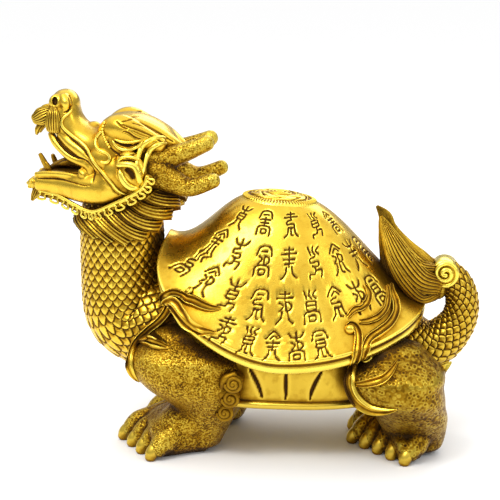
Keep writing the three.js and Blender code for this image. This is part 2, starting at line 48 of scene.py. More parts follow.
SHELL_LENGTH = 176.0
SHELL_WIDTH = 140.0
SHELL_HEIGHT = 100.0
RIM_HEIGHT = 64.0  # the rim's underside above the floor, at the flanks
RIM_BAND = 9.0
FRONT_RISE = 65.0
REAR_RISE = 24.0
LIP_SETBACK = 11.0
MEDALLION = 47.0
BELLY_CLEARANCE = 36.0
RIM_OVERHANG = 13.0
NECK = 56.0
CHEST = 62.0
HEAD_HEIGHT = 190.0
HEAD_REACH = 33.0  # from the shell's front edge to the middle of the skull
LEG = 80.0
STRIDE = 10.0  # the far front leg stands this much further back
CENTRE = 25.2  # the shell's centre, behind the middle of the figure
FRONT = CENTRE - SHELL_LENGTH / 2
REAR = CENTRE + SHELL_LENGTH / 2
SKULL = np.array([FRONT + LIP_SETBACK - HEAD_REACH, 0, HEAD_HEIGHT])


# Curves and meshes

def mix(a, b, t):
    return a + (b - a) * t


def step(low, high, x):
    """0 below low, 1 above high, smooth between."""
    t = np.clip((x - low) / (high - low), 0, 1)
    return t * t * (3 - 2 * t)


def smooth(rows, t):
    """A smooth curve through rows of numbers, at t from 0 to 1."""
    rows = np.asarray(rows, float)
    last = len(rows) - 1
    at = np.clip(np.asarray(t, float), 0, 1) * last
    i = np.minimum(at.astype(int), last - 1)
    f = (at - i)[..., None]
    a, b, c, d = (rows[np.clip(i + k, 0, last)] for k in (-1, 0, 1, 2))
    return b + 0.5 * f * (c - a + f * (2 * a - 5 * b + 4 * c - d + f * (3 * (b - c) + d - a)))


def spread(rows, count):
    """`count` points spread along the smooth curve through rows."""
    return smooth(rows, np.linspace(0, 1, count))


def unit(v):
    return v / np.maximum(np.linalg.norm(v, axis=-1, keepdims=True), 1e-9)


def heading(stations, t):
    """The direction of the smooth curve through stations at t."""
    return unit(smooth(stations, t + 0.01)[:, :3] - smooth(stations, t - 0.01)[:, :3])


def angles(count, way=1):
    """`count` angles all the way round."""
    return way * np.arange(count) / count * TURN


def oblong(c, s, squareness):
    """How far a rounded oblong reaches in a direction. 2 is an ellipse, and more is squarer."""
    return (np.abs(c) ** squareness + np.abs(s) ** squareness) ** (-1 / squareness)


def rings_mesh(rings):
    """A closed mesh through rings of points. A point in their middle closes the first and last rings."""
    rings = np.asarray(rings, float)
    rows, cols = rings.shape[:2]
    verts = np.concatenate([rings.reshape(-1, 3), [rings[0].mean(0)], [rings[-1].mean(0)]])
    i, j = np.meshgrid(np.arange(rows - 1), np.arange(cols), indexing="ij")
    a, b = i * cols + j, i * cols + (j + 1) % cols
    c, d = b + cols, a + cols
    faces = [np.stack([a, b, c], -1).reshape(-1, 3), np.stack([a, c, d], -1).reshape(-1, 3)]
    around, after = np.arange(cols), (np.arange(cols) + 1) % cols
    low, high, base = rows * cols, rows * cols + 1, (rows - 1) * cols
    faces.append(np.stack([after, around, np.full(cols, low)], -1))
    faces.append(np.stack([base + around, base + after, np.full(cols, high)], -1))
    return outward(verts, np.concatenate(faces))


def outward(verts, faces):
    """The mesh with its faces turned outward."""
    corner = verts[faces]
    volume = (corner[:, 0] * np.cross(corner[:, 1], corner[:, 2])).sum()
    return verts, (faces[:, ::-1] if volume < 0 else faces)


def normals(verts, faces):
    corner = verts[faces]
    across = np.cross(corner[:, 1] - corner[:, 0], corner[:, 2] - corner[:, 0])
    total = np.zeros_like(verts)
    for k in range(3):
        for axis in range(3):
            total[:, axis] += np.bincount(faces[:, k], across[:, axis], len(verts))
    return unit(total)


def swollen(mesh, heights):
    """The mesh with each point moved out by its height."""
    verts, faces = mesh
    return verts + normals(verts, faces) * heights[:, None], faces


def relaxed(verts, faces, rounds):
    """The points smoothed by moving each one halfway to the middle of its neighbours, `rounds` times."""
    start, end = faces.ravel(), np.roll(faces, -1, 1).ravel()
    count = np.maximum(np.bincount(start, minlength=len(verts)), 1)
    for _ in range(rounds):
        middle = [np.bincount(start, verts[end, axis], len(verts)) / count for axis in range(3)]
        verts = mix(verts, np.stack(middle, 1), 0.5)
    return verts


def limb(stations, sides=48, steps=48, power=2.0, dome=0.6, across=(0, 1, 0), cap=CAP, level=False):
    """A limb through stations [x, y, z, half width, half depth], rounded at both ends. The sections of a
    level one lie flat."""
    stations = np.asarray(stations, float)
    if stations.shape[1] == 4:
        stations = np.column_stack([stations, stations[:, 3]])
    quarter = np.linspace(0, math.pi / 2, cap + 1)
    body = np.linspace(0, 1, steps + 1)
    t = np.concatenate([np.zeros(cap), body, np.ones(cap)])
    ahead = np.concatenate([-np.cos(quarter[:-1]), np.zeros(steps + 1), np.sin(quarter[1:])])
    shrink = np.concatenate([np.sin(quarter[:-1]), np.ones(steps + 1), np.cos(quarter[1:])])
    values = smooth(stations, t)
    forward = heading(stations, t)
    if level:
        forward = np.broadcast_to((0.0, 0.0, -1.0), forward.shape)
    side = unit(np.asarray(across, float) - forward * (forward @ np.asarray(across, float))[:, None])
    up = np.cross(side, forward)
    wide, deep = values[:, 3:4], values[:, 4:5]
    middle = values[:, :3] + forward * (ahead[:, None] * deep * dome)
    c, s = np.cos(angles(sides)), np.sin(angles(sides))
    reach = oblong(c, s, power)
    spread = (c * reach)[None, :, None] * (side * wide)[:, None, :]
    depth = (s * reach)[None, :, None] * (up * deep)[:, None, :]
    return rings_mesh(middle[:, None, :] + (spread + depth) * shrink[:, None, None])


def tube(points, radius, sides, steps, dome=1.0):
    """A round tube through points, with one radius for all of them or one for each."""
    stations = np.column_stack([points, np.broadcast_to(radius, len(points))])
    return limb(stations, sides, steps, cap=3, dome=dome)


def cord(points, radius, sides, taper=0.55):
    """A tube that is thinner at both ends."""
    girth = taper + (1 - taper) * np.sin(np.linspace(0, 1, len(points)) * math.pi) ** 0.5
    return tube(points, radius * girth, sides, max(8, 6 * (len(points) - 1)))


def ball(at, sizes, around=40, rings=24):
    theta = np.linspace(0, math.pi, rings + 1)[1:-1]
    angle = angles(around)
    points = np.stack([
        np.sin(theta)[:, None] * np.cos(angle),
        np.sin(theta)[:, None] * np.sin(angle),
        np.cos(theta)[:, None] * np.ones(around),
    ], -1) * np.asarray(sizes, float)
    return rings_mesh(points + np.asarray(at, float))


def spiral(at, radius, turns, thickness, start, normal=(0, 1, 0), bulge=0.25):
    """A coiled cord from the angle `start` that rises to its middle, in the plane across `normal`."""
    normal = unit(np.asarray(normal, float))
    right = unit(np.cross(normal, (0, 0, 1)))
    up = np.cross(right, normal)
    t = np.linspace(0, 1, int(10 * turns) + 2)[:, None]
    angle = start + t * turns * TURN
    reach = radius * (1 - 0.9 * t)
    points = np.asarray(at, float) + reach * (np.cos(angle) * right + np.sin(angle) * up)
    points = points + normal * bulge * radius * t
    return tube(points, thickness, 8, 5 * len(points))


def mirrored(mesh):
    verts, faces = mesh
    return verts * (1, -1, 1), faces[:, ::-1]


def moved(mesh, offset):
    return mesh[0] + np.asarray(offset, float), mesh[1]


def both(meshes):
    meshes = list(meshes)
    return meshes + [mirrored(mesh) for mesh in meshes]


def joined(meshes):
    verts, faces, start = [], [], 0
    for one_verts, one_faces in meshes:
        verts.append(one_verts)
        faces.append(one_faces + start)
        start += len(one_verts)
    return np.concatenate(verts), np.concatenate(faces)


def blender_mesh(name, verts, faces):
    mesh = bpy.data.meshes.new(name)
    mesh.vertices.add(len(verts))
    mesh.vertices.foreach_set("co", (verts * MM).astype(np.float32).ravel())
    mesh.loops.add(faces.size)
    mesh.loops.foreach_set("vertex_index", faces.astype(np.int32).ravel())
    mesh.polygons.add(len(faces))
    mesh.polygons.foreach_set("loop_start", np.arange(0, faces.size, 3, dtype=np.int32))
    mesh.polygons.foreach_set("loop_total", np.full(len(faces), 3, np.int32))
    mesh.polygons.foreach_set("use_smooth", np.ones(len(faces), bool))
    mesh.update(calc_edges=True)
    return mesh


def melted(meshes, grain, rounds):
    """The meshes run together into one skin, with points about `grain` apart and its creases relaxed."""
    mesh = blender_mesh("melting", *joined(meshes))
    made = bpy.data.objects.new("melting", mesh)
    bpy.context.collection.objects.link(made)
    skin = made.modifiers.new("skin", "REMESH")
    skin.mode = "VOXEL"
    skin.voxel_size = grain * MM
    skin.adaptivity = 0
    ready = made.evaluated_get(bpy.context.evaluated_depsgraph_get()).to_mesh()
    verts = np.empty(len(ready.vertices) * 3, np.float32)
    ready.vertices.foreach_get("co", verts)
    ready.calc_loop_triangles()
    faces = np.empty(len(ready.loop_triangles) * 3, np.int32)
    ready.loop_triangles.foreach_get("vertices", faces)
    bpy.data.objects.remove(made, do_unlink=True)
    bpy.data.meshes.remove(mesh)
    verts, faces = verts.reshape(-1, 3).astype(float) / MM, faces.reshape(-1, 3)
    return relaxed(verts, faces, rounds), faces


def surface_of(meshes):
    verts, faces = joined(meshes)
    return BVHTree.FromPolygons(verts.tolist(), faces.tolist())


def met_from_side(surface, x, z):
    """Where a line from the +Y side first meets a surface, and which way that faces, or None twice."""
    return surface.ray_cast(Vector((x, BESIDE, z)), Vector((0, -1, 0)))[:2]


def draped(surface, rows, lift):
    """Points [x, z] laid on the +Y side of a surface, `lift` above it, or on what is nearest beside it."""
    laid = []
    for x, z in rows:
        place, normal = met_from_side(surface, x, z)
        if place is None:
            place, normal, _, _ = surface.find_nearest(Vector((x, 30, z)))
        laid.append(place + normal * lift)
    return np.array([list(point) for point in laid])


def draped_line(surface, rows, count, lift, rounds):
    """A line through rows [x, z] from the skull's middle, laid on the +Y side of a surface and smoothed."""
    laid = draped(surface, spread(rows, count) + SKULL[[0, 2]], lift)
    for _ in range(rounds):
        laid[1:-1] = (laid[:-2] + 2 * laid[1:-1] + laid[2:]) / 4
    return laid


def tapered_line(flat, path, half):
    """1 inside a line that thins out at both ends, and 0 outside it, for flat points."""
    inside = np.zeros(len(flat))
    last = len(path) - 1
    for k in range(last):
        start, along = path[k], path[k + 1] - path[k]
        t = np.clip((flat - start) @ along / max(along @ along, 1e-9), 0, 1)
        width = half * (0.35 + 0.65 * np.sin((k + t) / last * math.pi) ** 0.6)
        away = np.linalg.norm(flat - start - t[:, None] * along, axis=1)
        inside = np.maximum(inside, 1 - step(0.3 * width, 1.5 * width, away))
    return inside


def sunk(mesh, lines, origin):
    """Sinks lines drawn in the side view into both sides of a mesh, away from its middle. Each line is (half
    width, depth, rows of [x, z]). Gives the mesh and how much patina lies in the lines."""
    verts, faces = mesh
    facing = normals(verts, faces)
    flat = verts[:, [0, 2]]
    depth, darkening = np.zeros(len(verts)), np.zeros(len(verts))
    for half, deep, rows in lines:
        path = spread(rows, 5 * len(rows)) + (origin[0], origin[2])
        reach = np.ptp(path, axis=0) / 2 + 2 * half + 1
        near = (np.abs(flat - (path.max(0) + path.min(0)) / 2) < reach).all(1)
        share = tapered_line(flat[near], path, half)
        depth[near] = np.maximum(depth[near], share * deep)
        darkening[near] = np.maximum(darkening[near], share * min(deep, 1))
    side = step(0.1, 0.35, np.abs(facing[:, 1])) * step(3, 5, np.abs(verts[:, 1]))
    return (verts - facing * (depth * side)[:, None], faces), 0.6 * darkening * side


def with_ends(values, ends=0.0):
    """The values at a mesh's rings, followed by those at the two points that close it."""
    return np.concatenate([values.ravel(), [ends, ends]])


def combed(stations, sides, steps, strands, height, twist):
    """A lock of hair with fine lines along it. Gives the mesh and the patina between the lines."""
    turn = angles(sides) * strands
    share = np.linspace(0, 1, steps + 1 + 2 * CAP)[:, None]
    comb = np.cos(turn + twist * share) + 0.45 * np.cos(turn * 2 + 2.2 * twist * share + 1)
    fade = np.sin(share * math.pi) ** 0.5
    lock = swollen(limb(stations, sides, steps), with_ends(height * comb * fade))
    return lock, with_ends(0.75 * step(-0.1, -1.2, comb) * fade)


def stained(mesh, patina):
    """A mesh with the same patina all over."""
    return mesh, np.full(len(mesh[0]), patina)


def gathered(parts):
    """Meshes that come with their patina, joined into one."""
    return joined([mesh for mesh, _ in parts]), np.concatenate([darkening for _, darkening in parts])


def near_to(mesh, surface, reach):
    """1 where a mesh touches a surface, and 0 from `reach` away."""
    gaps = []
    for point in mesh[0].tolist():
        gap = surface.find_nearest(Vector(point), reach)[3]
        gaps.append(reach if gap is None else gap)
    return step(reach, 0.1 * reach, np.array(gaps))


def paired(parts):
    return list(parts) + [(mirrored(mesh), darkening) for mesh, darkening in parts]


# Pieces


def hollow_depth(verts, faces, rounds):
    """How far each point lies below its surroundings, in millimetres. High places are negative."""
    gap = relaxed(verts, faces, rounds) - verts
    return (gap * normals(verts, faces)).sum(1)


KEPT_SHARE = 0.49  # of a piece's triangles, which keeps the whole figure under a million


def thinned(made):
    """Drops the triangles that say least about the shape."""
    thin = made.modifiers.new("thin", "DECIMATE")
    thin.ratio = KEPT_SHARE
    graph = bpy.context.evaluated_depsgraph_get()
    lean = bpy.data.meshes.new_from_object(made.evaluated_get(graph))
    made.modifiers.clear()
    made.data = lean


def piece(name, finish, mesh, extra=0.0, rounds=10, depth=0.35):
    """A finished piece. Patina gathers in hollows, fully from `depth` mm on, and where `extra` says; on the
    neck, legs, tail, mane and tuft `extra` also brings painted shade. `rounds` sets how wide a hollow may be."""
    verts, faces = mesh
    hollow = hollow_depth(verts, faces, rounds)
    patina = np.clip(np.clip(hollow / depth, 0, 1) + extra, 0, 1)
    polish = np.clip(-hollow / depth, 0, 1)
    data = blender_mesh(name, verts, faces)
    # The patina attribute also carries the painted shade that `extra` brings.
    for label, values in (("patina", patina), ("polish", polish)):
        layer = data.attributes.new(label, "FLOAT", "POINT")
        layer.data.foreach_set("value", (values * np.ones(len(verts))).astype(np.float32))
    data.materials.append(finish)
    made = bpy.data.objects.new(name, data)
    bpy.context.collection.objects.link(made)
    thinned(made)
    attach(made, "root")


def both_pieces(name, finish, mesh, extra=0.0, back=0.0, **options):
    """The two pieces of a pair, of which the far one stands `back` mm behind the near one."""
    piece(name + "_far", finish, moved(mesh, (back, 0, 0)), extra, **options)
    piece(name + "_near", finish, mirrored(mesh), extra, **options)


# Shader nodes

def plug(tree, socket, value):
    """Sets a socket to a value, or links it to another node's output."""
    if isinstance(value, bpy.types.NodeSocket):
        tree.links.new(value, socket)
    else:
        socket.default_value = value


def add_node(tree, kind, sockets=(), **settings):
    """A new node with its settings made and its sockets plugged."""
    made = tree.nodes.new(kind)
    for key, value in settings.items():
        setattr(made, key, value)
    for key, value in dict(sockets).items():
        plug(tree, made.inputs[key], value)
    return made


def ramp(tree, source, stops):
    """Colours for a value, from stops of a place and a colour or a grey."""
    made = add_node(tree, "ShaderNodeValToRGB", {0: source})
    elements = made.color_ramp.elements
    while len(elements) < len(stops):
        elements.new(0.5)
    for element, (at, colour) in zip(elements, stops):
        element.position = at
        element.color = (*np.broadcast_to(colour, 3), 1)
    return made.outputs[0]


def brass(name, tone=1.0, pits=0.0, pit_size=1.3, ringed=False, dull=0.0, high=(0.98, 0.8, 0.12)):
    """Polished brass under a dark patina and painted shade. `tone` darkens it all over, `pits` marks it with
    punched dots
    `pit_size` mm apart, each in a ring where it is `ringed`, `dull` roughens it, and `high` is the colour of
    its bright places."""
    material = bpy.data.materials.new(name)
    material.use_nodes = True
    tree = material.node_tree
    place = add_node(tree, "ShaderNodeTexCoord").outputs["Object"]

    def calc(operation, *values):
        clamped = operation != "MULTIPLY"
        made = add_node(tree, "ShaderNodeMath", enumerate(values), operation=operation, use_clamp=clamped)
        return made.outputs[0]

    def grey(source, *stops):
        return ramp(tree, source, stops)

    def noise(scale, detail=3.0):
        sockets = {"Scale": scale, "Detail": detail, "Vector": place}
        return add_node(tree, "ShaderNodeTexNoise", sockets).outputs["Fac"]

    # Patina lies in the hollows of the mesh and in loose specks; painted shade darkens deep corners and under
    # parts.
    patina = add_node(tree, "ShaderNodeAttribute", attribute_name="patina").outputs["Fac"]
    polish = add_node(tree, "ShaderNodeAttribute", attribute_name="polish").outputs["Fac"]
    crevice = add_node(tree, "ShaderNodeAmbientOcclusion", {"Distance": 0.011}, samples=8)
    shade = grey(crevice.outputs["AO"], (0.25, 1.0), (0.6, 0.42), (0.95, 0.0))
    blotch = noise(48)
    clouds = grey(blotch, (0.35, 0.55), (0.65, 1.1))
    patina_and_shade = calc("ADD", patina, calc("MULTIPLY", shade, clouds))
    patina_and_shade = calc("ADD", patina_and_shade, calc("MULTIPLY", grey(noise(210, 4.0), (0.5, 0.0), (0.8, 1.0)), 0.22))
    heights = calc("MULTIPLY", noise(1100, 2.0), 0.22)

    # The punched dots are cells of a loose grid, with finer grain between them.
    if pits:
        sockets = {"Scale": 1000 / pit_size, "Randomness": 0.85, "Vector": place}
        far = add_node(tree, "ShaderNodeTexVoronoi", sockets, feature="F1").outputs["Distance"]
        if ringed:
            dots = grey(far, (0.0, 1.0), (0.24, 0.95), (0.36, 0.0), (0.5, 0.0), (0.64, 0.6))
        else:
            dots = grey(far, (0.3, 1.0), (0.6, 0.0))
        grain = grey(noise(820 / pit_size, 1.0), (0.4, 1.0), (0.56, 0.0))
        share = 0.75 if ringed else 0.65
        dots = calc("ADD", calc("MULTIPLY", dots, share), calc("MULTIPLY", grain, 1.15 - share))
        dots = calc("MULTIPLY", dots, grey(noise(90, 2.0), (0.36, 0.6), (0.6, 1.0)))
        patina_and_shade = calc("ADD", patina_and_shade, calc("MULTIPLY", dots, pits))
        heights = calc("SUBTRACT", calc("ADD", heights, 0.5), calc("MULTIPLY", dots, 0.5))

    # High places are rubbed bright.
    patina_and_shade = calc("SUBTRACT", patina_and_shade, calc("MULTIPLY", polish, 0.45))
    shine = calc("ADD", calc("MULTIPLY", blotch, 0.5), calc("MULTIPLY", polish, 0.4))
    tones = ((0.12, (0.64, 0.39, 0.03)), (0.34, (0.85, 0.57, 0.055)), (0.75, high))
    clean = ramp(tree, shine, [(at, tuple(tone * part for part in colour)) for at, colour in tones])
    darkening = ramp(tree, patina_and_shade, [(0.0, 1), (0.3, (0.62, 0.5, 0.26)), (0.6, (0.28, 0.19, 0.05)),
                              (0.95, (0.08, 0.05, 0.012))])
    sockets = {"Fac": 1.0, "Color1": clean, "Color2": darkening}
    colour = add_node(tree, "ShaderNodeMixRGB", sockets, blend_type="MULTIPLY")
    rough = grey(patina_and_shade, (0.0, 0.22 + dull), (0.8, 0.55))
    relief = {"Strength": 0.8 if pits else 0.45, "Distance": 0.0008 if pits else 0.0005, "Height": heights}
    shader = tree.nodes["Principled BSDF"]
    plug(tree, shader.inputs["Base Color"], colour.outputs[0])
    plug(tree, shader.inputs["Metallic"], grey(patina_and_shade, (0.4, 1.0), (1.0, 0.8)))
    plug(tree, shader.inputs["Roughness"], calc("ADD", rough, calc("MULTIPLY", noise(300), 0.1)))
    plug(tree, shader.inputs["Normal"], add_node(tree, "ShaderNodeBump", relief).outputs[0])
    return material


BRASS = brass("polished_brass")
PITTED = brass("stippled_brass", tone=0.72, pits=0.8, pit_size=1.15, dull=0.06)
RINGED = brass("punched_brass", tone=0.55, pits=0.8, pit_size=3.0, ringed=True, dull=0.06)
HAIR = brass("combed_brass", tone=0.82, dull=0.04)
AGED = brass("aged_brass", tone=0.8, dull=0.06, high=(0.92, 0.65, 0.08))


# Shell

def blend(turn, front, flank, rear):
    """A value that goes from the front, at turn 0, over the flank to the rear."""
    c = np.cos(turn)
    return mix(flank, np.where(c > 0, front, rear), c ** 2)


def rim_point(turn):
    """The rim's upper edge."""
    c, s = np.cos(turn), np.sin(turn)
    reach = oblong(c, s, np.where(c > 0, 3, 2.3))
    setback = np.where(c > 0, LIP_SETBACK * c ** 8, 0)
    rise = blend(turn, FRONT_RISE, 0, REAR_RISE)
    x = CENTRE - c * reach * SHELL_LENGTH / 2 + setback
    return np.stack([x, s * reach * SHELL_WIDTH / 2, RIM_HEIGHT + RIM_BAND + rise + 0 * c], -1)


CROWN = np.array([CENTRE - 0.034 * SHELL_LENGTH, 0, RIM_HEIGHT + SHELL_HEIGHT])


def crown_point(turn, share):
    """A point of the disc on the crown, at a share of its radius."""
    radius = MEDALLION / 2 * share
    drop = 4 * share ** 2 - 2 * np.cos(turn) * share
    x, y = CROWN[0] - np.cos(turn) * radius, np.sin(turn) * radius * 0.86
    return np.stack([x, y, CROWN[2] - drop + 0 * x], -1)


def shell_point(turn, share):
    """A point of the dome, from the crown's disc at share 0 to the rim at 1."""
    turn, share = np.broadcast_arrays(np.asarray(turn, float), np.asarray(share, float))
    top, rim = crown_point(turn, 1.0), rim_point(turn)
    shoulder, skirt = mix(top, rim, 1 / 3), mix(top, rim, 2 / 3)
    shoulder[..., 2] += blend(turn, 3, 20, 9)
    skirt[..., 2] += blend(turn, -16, -4, -12)
    t = share[..., None]
    rest = 1 - t
    return rest ** 3 * top + 3 * rest ** 2 * t * shoulder + 3 * rest * t ** 2 * skirt + t ** 3 * rim


# The signs on the shell are built from strokes that mean nothing: a top, a middle and a foot each, in shares
# of half a sign's width and height.
SIGN_TOPS = (
    [[(0, 1), (0.02, 0.4)], [(-0.8, 0.95), (-0.5, 0.66), (0, 0.6)], [(0.8, 0.95), (0.5, 0.66), (0, 0.6)]],
    [[(0, 1), (0, 0.42)], [(-0.5, 0.84), (0.5, 0.84)], [(-0.85, 0.58), (0.85, 0.6)]],
    [[(-0.8, 0.5), (-0.2, 0.95), (0.1, 1), (0.7, 0.6)], [(-0.35, 0.5), (0.1, 0.72), (0.45, 0.5)]],
    [[(-0.85, 0.35), (-0.6, 0.85), (0, 0.98), (0.6, 0.85), (0.85, 0.35)], [(-0.3, 0.62), (0.3, 0.62)]],
    [[(-0.6, 1), (-0.35, 0.5)], [(0, 1), (-0.1, 0.7), (0.15, 0.45)], [(0.65, 0.95), (0.3, 0.7), (0.6, 0.45)]],
)
SIGN_MIDDLES = (
    [[(-0.45, 0.3), (0.45, 0.3), (0.5, 0.05), (0.42, -0.2), (-0.42, -0.2), (-0.5, 0.05), (-0.45, 0.3)],
     [(-0.45, 0.06), (0.45, 0.06)]],
    [[(0, 0.4), (0, -0.3)], [(-0.65, 0.22), (0.65, 0.22)], [(-0.5, -0.06), (0.5, -0.06)]],
    [[(0.1, 0.35), (-0.5, 0.25), (-0.45, 0), (0.3, 0.02), (0.45, -0.2), (0, -0.32), (-0.35, -0.2)]],
    [[(-0.55, 0.3), (-0.15, 0.1), (-0.55, -0.2)],
     [(0.1, 0.34), (0.6, 0.2), (0.6, -0.1), (0.15, -0.2), (0.1, 0.34)]],
)
SIGN_FEET = (
    [[(-0.3, -0.25), (-0.42, -0.65), (-0.9, -1)], [(0.3, -0.25), (0.42, -0.7), (0.9, -1)]],
    [[(-0.35, -0.25), (-0.45, -0.7), (-0.85, -0.95)], [(0, -0.25), (0.02, -0.8), (0.3, -0.9)],
     [(0.45, -0.25), (0.6, -0.75), (0.95, -1)]],
    [[(-0.85, -1), (-0.75, -0.4), (0, -0.28), (0.75, -0.4), (0.85, -1)],
     [(-0.3, -0.55), (0.3, -0.55), (0.3, -0.85), (-0.3, -0.85), (-0.3, -0.55)]],
    [[(0, -0.3), (-0.1, -0.7), (-0.75, -0.75), (-0.8, -1)], [(0.1, -0.5), (0.7, -0.55), (0.55, -1)]],
)
# Each row of signs: its share of the way from crown to rim, its first and last angle in degrees, how many it
# has, and the width and height of one.
SIGN_ROWS = ((0.2, 51, 154, 5, 9.5, 17), (0.45, 44, 167, 8, 11, 20), (0.69, 38, 147, 9, 12, 20.5),
             (0.91, 66, 107, 5, 11.5, 18))
STROKE = 0.56  # half width of a stroke
STROKE_DEPTH = 0.75


def sign_strokes(row, k):
    """The strokes of one sign, put together so that neighbours differ."""
    parts = (
        SIGN_TOPS[(3 * k + 2 * row) % len(SIGN_TOPS)],
        SIGN_MIDDLES[(k + row + k // 3) % len(SIGN_MIDDLES)],
        SIGN_FEET[(2 * k + row + k // 2) % len(SIGN_FEET)],
    )
    return [spread(stroke, 4 * len(stroke) - 3) for part in parts for stroke in part]


def stroke_distance(flat, strokes):
    """Distance from flat points to the nearest of the strokes."""
    best = np.full(len(flat), 1e9)
    for stroke in strokes:
        for start, end in zip(stroke[:-1], stroke[1:]):
            along = end - start
            t = np.clip((flat - start) @ along / max(along @ along, 1e-9), 0, 1)
            best = np.minimum(best, np.linalg.norm(flat - start - t[:, None] * along, axis=1))
    return best


def carve_signs(points):
    """How deep each point of the shell lies in a stroke, from 0 to 1."""
    depth = np.zeros(len(points))
    for row, (share, first, last, count, width, height) in enumerate(SIGN_ROWS):
        for k, degrees in enumerate(np.linspace(first, last, count)):
            for side in (-1, 1):
                turn = side * math.radians(degrees)
                at = shell_point(turn, share)
                up = unit(shell_point(turn, share - 0.02) - shell_point(turn, share + 0.02))
                right = unit(shell_point(turn - 0.02, share) - shell_point(turn + 0.02, share))
                offset = points - at
                near = np.abs(offset).max(1) < 14
                flat = np.column_stack([offset[near] @ right, offset[near] @ up])
                size = (width / 2, height / 2)
                strokes = [stroke * size for stroke in sign_strokes(row, k + (3 if side > 0 else 0))]
                cut = 1 - step(0.45 * STROKE, 1.35 * STROKE, stroke_distance(flat, strokes))
                depth[near] = np.maximum(depth[near], cut)
    return depth


def make_shell():
    around, floor = 640, RIM_HEIGHT + RIM_BAND
    turns = angles(around, -1)
    dome = shell_point(turns[None, :], np.linspace(1, 0, 140)[:, None])
    edge = shell_point(turns, 1.0)
    middle = edge * (0, 0, 1) + (CENTRE, 0, 0)

    def inward(share, drop):
        return mix(edge, middle, share) - (0, 0, drop)

    footing = inward(0.14, 0)
    footing[:, 2] = floor
    # The band and the cord under the edge, as shares of the way in and millimetres down.
    lip = [(0.1, RIM_BAND - 1), (0.03, RIM_BAND), (0.012, RIM_BAND), (-0.002, RIM_BAND - 0.8),
           (-0.008, 6.5), (-0.008, 5), (-0.002, 3.9), (-0.004, 2.8), (-0.013, 1.8), (-0.013, 0.9),
           (-0.008, 0.2)]
    rings = [np.broadcast_to((CENTRE, 0, floor), (around, 3)), footing]
    rings += [inward(*row) for row in lip] + list(dome)
    rings += [crown_point(turns, share) for share in (0.8, 0.5, 0.2, 0.02)]
    mesh = rings_mesh(rings)
    cut = carve_signs(mesh[0])
    return swollen(mesh, -STROKE_DEPTH * cut), 0.85 * cut


def make_medallion():
    """The disc on the crown: a hatched border, a ring of petals and a boss, at shares of its radius."""
    around = 360
    turns = angles(around, -1)
    shares = np.concatenate([[1.05, 1.05], np.linspace(1.04, 0, 90)])
    rings = []
    for k, share in enumerate(shares):
        ring = crown_point(turns, share)
        border = step(1.04, 1.0, share) * step(0.86, 0.89, share)
        hatch = 0.75 + 0.25 * np.cos(72 * turns + 8 * share)
        petals = step(0.8, 0.77, share) * step(0.42, 0.5, share)
        bloom = np.abs(np.cos(4 * turns + 2.2 * math.sin(share * 12)))
        inner = step(0.4, 0.36, share) * (0.6 + 0.4 * math.cos(share * 60))
        height = border * hatch * 1.5 + petals * (0.25 + 1.05 * step(0.25, 0.65, bloom)) + inner * 1.1
        rings.append(ring + np.stack([0 * turns, 0 * turns, height - (3 if k == 0 else -0.1)], -1))
    floor = np.broadcast_to(CROWN - (0, 0, 7), (around, 3))
    return rings_mesh([floor] + rings)


# Belly

def make_belly():
    """The belly: a rounded foot, and a wall with a fan of three grooves in each flank."""
    around = 480
    turns = angles(around, -1)
    c, s = np.cos(turns), np.sin(turns)
    reach = oblong(c, s, 2.6)
    half_length, half_width = 0.4 * SHELL_LENGTH, SHELL_WIDTH / 2 - RIM_OVERHANG
    low, top = BELLY_CLEARANCE + 6, RIM_HEIGHT + RIM_BAND
    rows = [(36, 20), (36, 3), (36.3, 1.6), (37, 0.6), (38, 0.1), (39.2, 0), (40.2, 0.4), (40.8, 1.4),
            (41.4, 2)]
    rows += [(z, 1.9 - 1.2 * math.sin((z - low) / (top - low) * math.pi)) for z in np.linspace(low, top, 56)]
    rings = [np.broadcast_to((CENTRE, 0, BELLY_CLEARANCE), (around, 3))]
    for z, inset in rows:
        x, y = CENTRE - c * reach * (half_length - inset), s * reach * (half_width - inset)
        place = np.stack([x, y, 0 * c + z], -1)
        bend = np.zeros(around)
        share = (z - low - 1) / 20
        if share > 0:
            for fan in (-1, 0, 1):
                x = CENTRE + 2 + fan * (15 + 8 * share ** 1.5)
                wide = 1.5 * math.sin(min(max(share, 0.02), 1) * math.pi) ** 0.6
                groove = 1 - step(0.3 * wide, 1.3 * wide, np.abs(place[:, 0] - x))
                bend = np.maximum(bend, groove * (share < 1))
            bend *= np.abs(s) > 0.5
        place[:, 1] -= np.sign(s) * bend * 1.8
        rings.append(place)
    rings.append(np.broadcast_to((CENTRE, 0, top), (around, 3)))
    return rings_mesh(rings)


# Neck

LIP_HEIGHT = RIM_HEIGHT + RIM_BAND + FRONT_RISE
LIP_FRONT = FRONT + LIP_SETBACK
NECK_X = LIP_FRONT - 0.56 * NECK
NECK_Z = mix(BELLY_CLEARANCE, LIP_HEIGHT, 0.6)


def neck_stations():
    half, chest = NECK / 2, CHEST / 2
    low = BELLY_CLEARANCE + chest
    return [
        [CENTRE - 0.3 * SHELL_LENGTH, 0, low + 1, chest * 1.05, chest * 0.95],
        [FRONT + 0.14 * SHELL_LENGTH, 0, low + 2, chest * 1.16, chest * 0.96],
        [NECK_X + 16, 0, low + 11, chest * 1.1, chest],
        [NECK_X + 3, 0, mix(low, NECK_Z, 0.6), chest * 0.96, half * 1.02],
        [NECK_X, 0, NECK_Z + 10, half * 0.98, half * 0.98],
        [mix(NECK_X, SKULL[0], 0.3), 0, mix(NECK_Z, SKULL[2], 0.5), half * 0.88, half * 0.94],
        [SKULL[0] + 2, 0, SKULL[2] - 14, half * 0.8, half * 0.8],
    ]


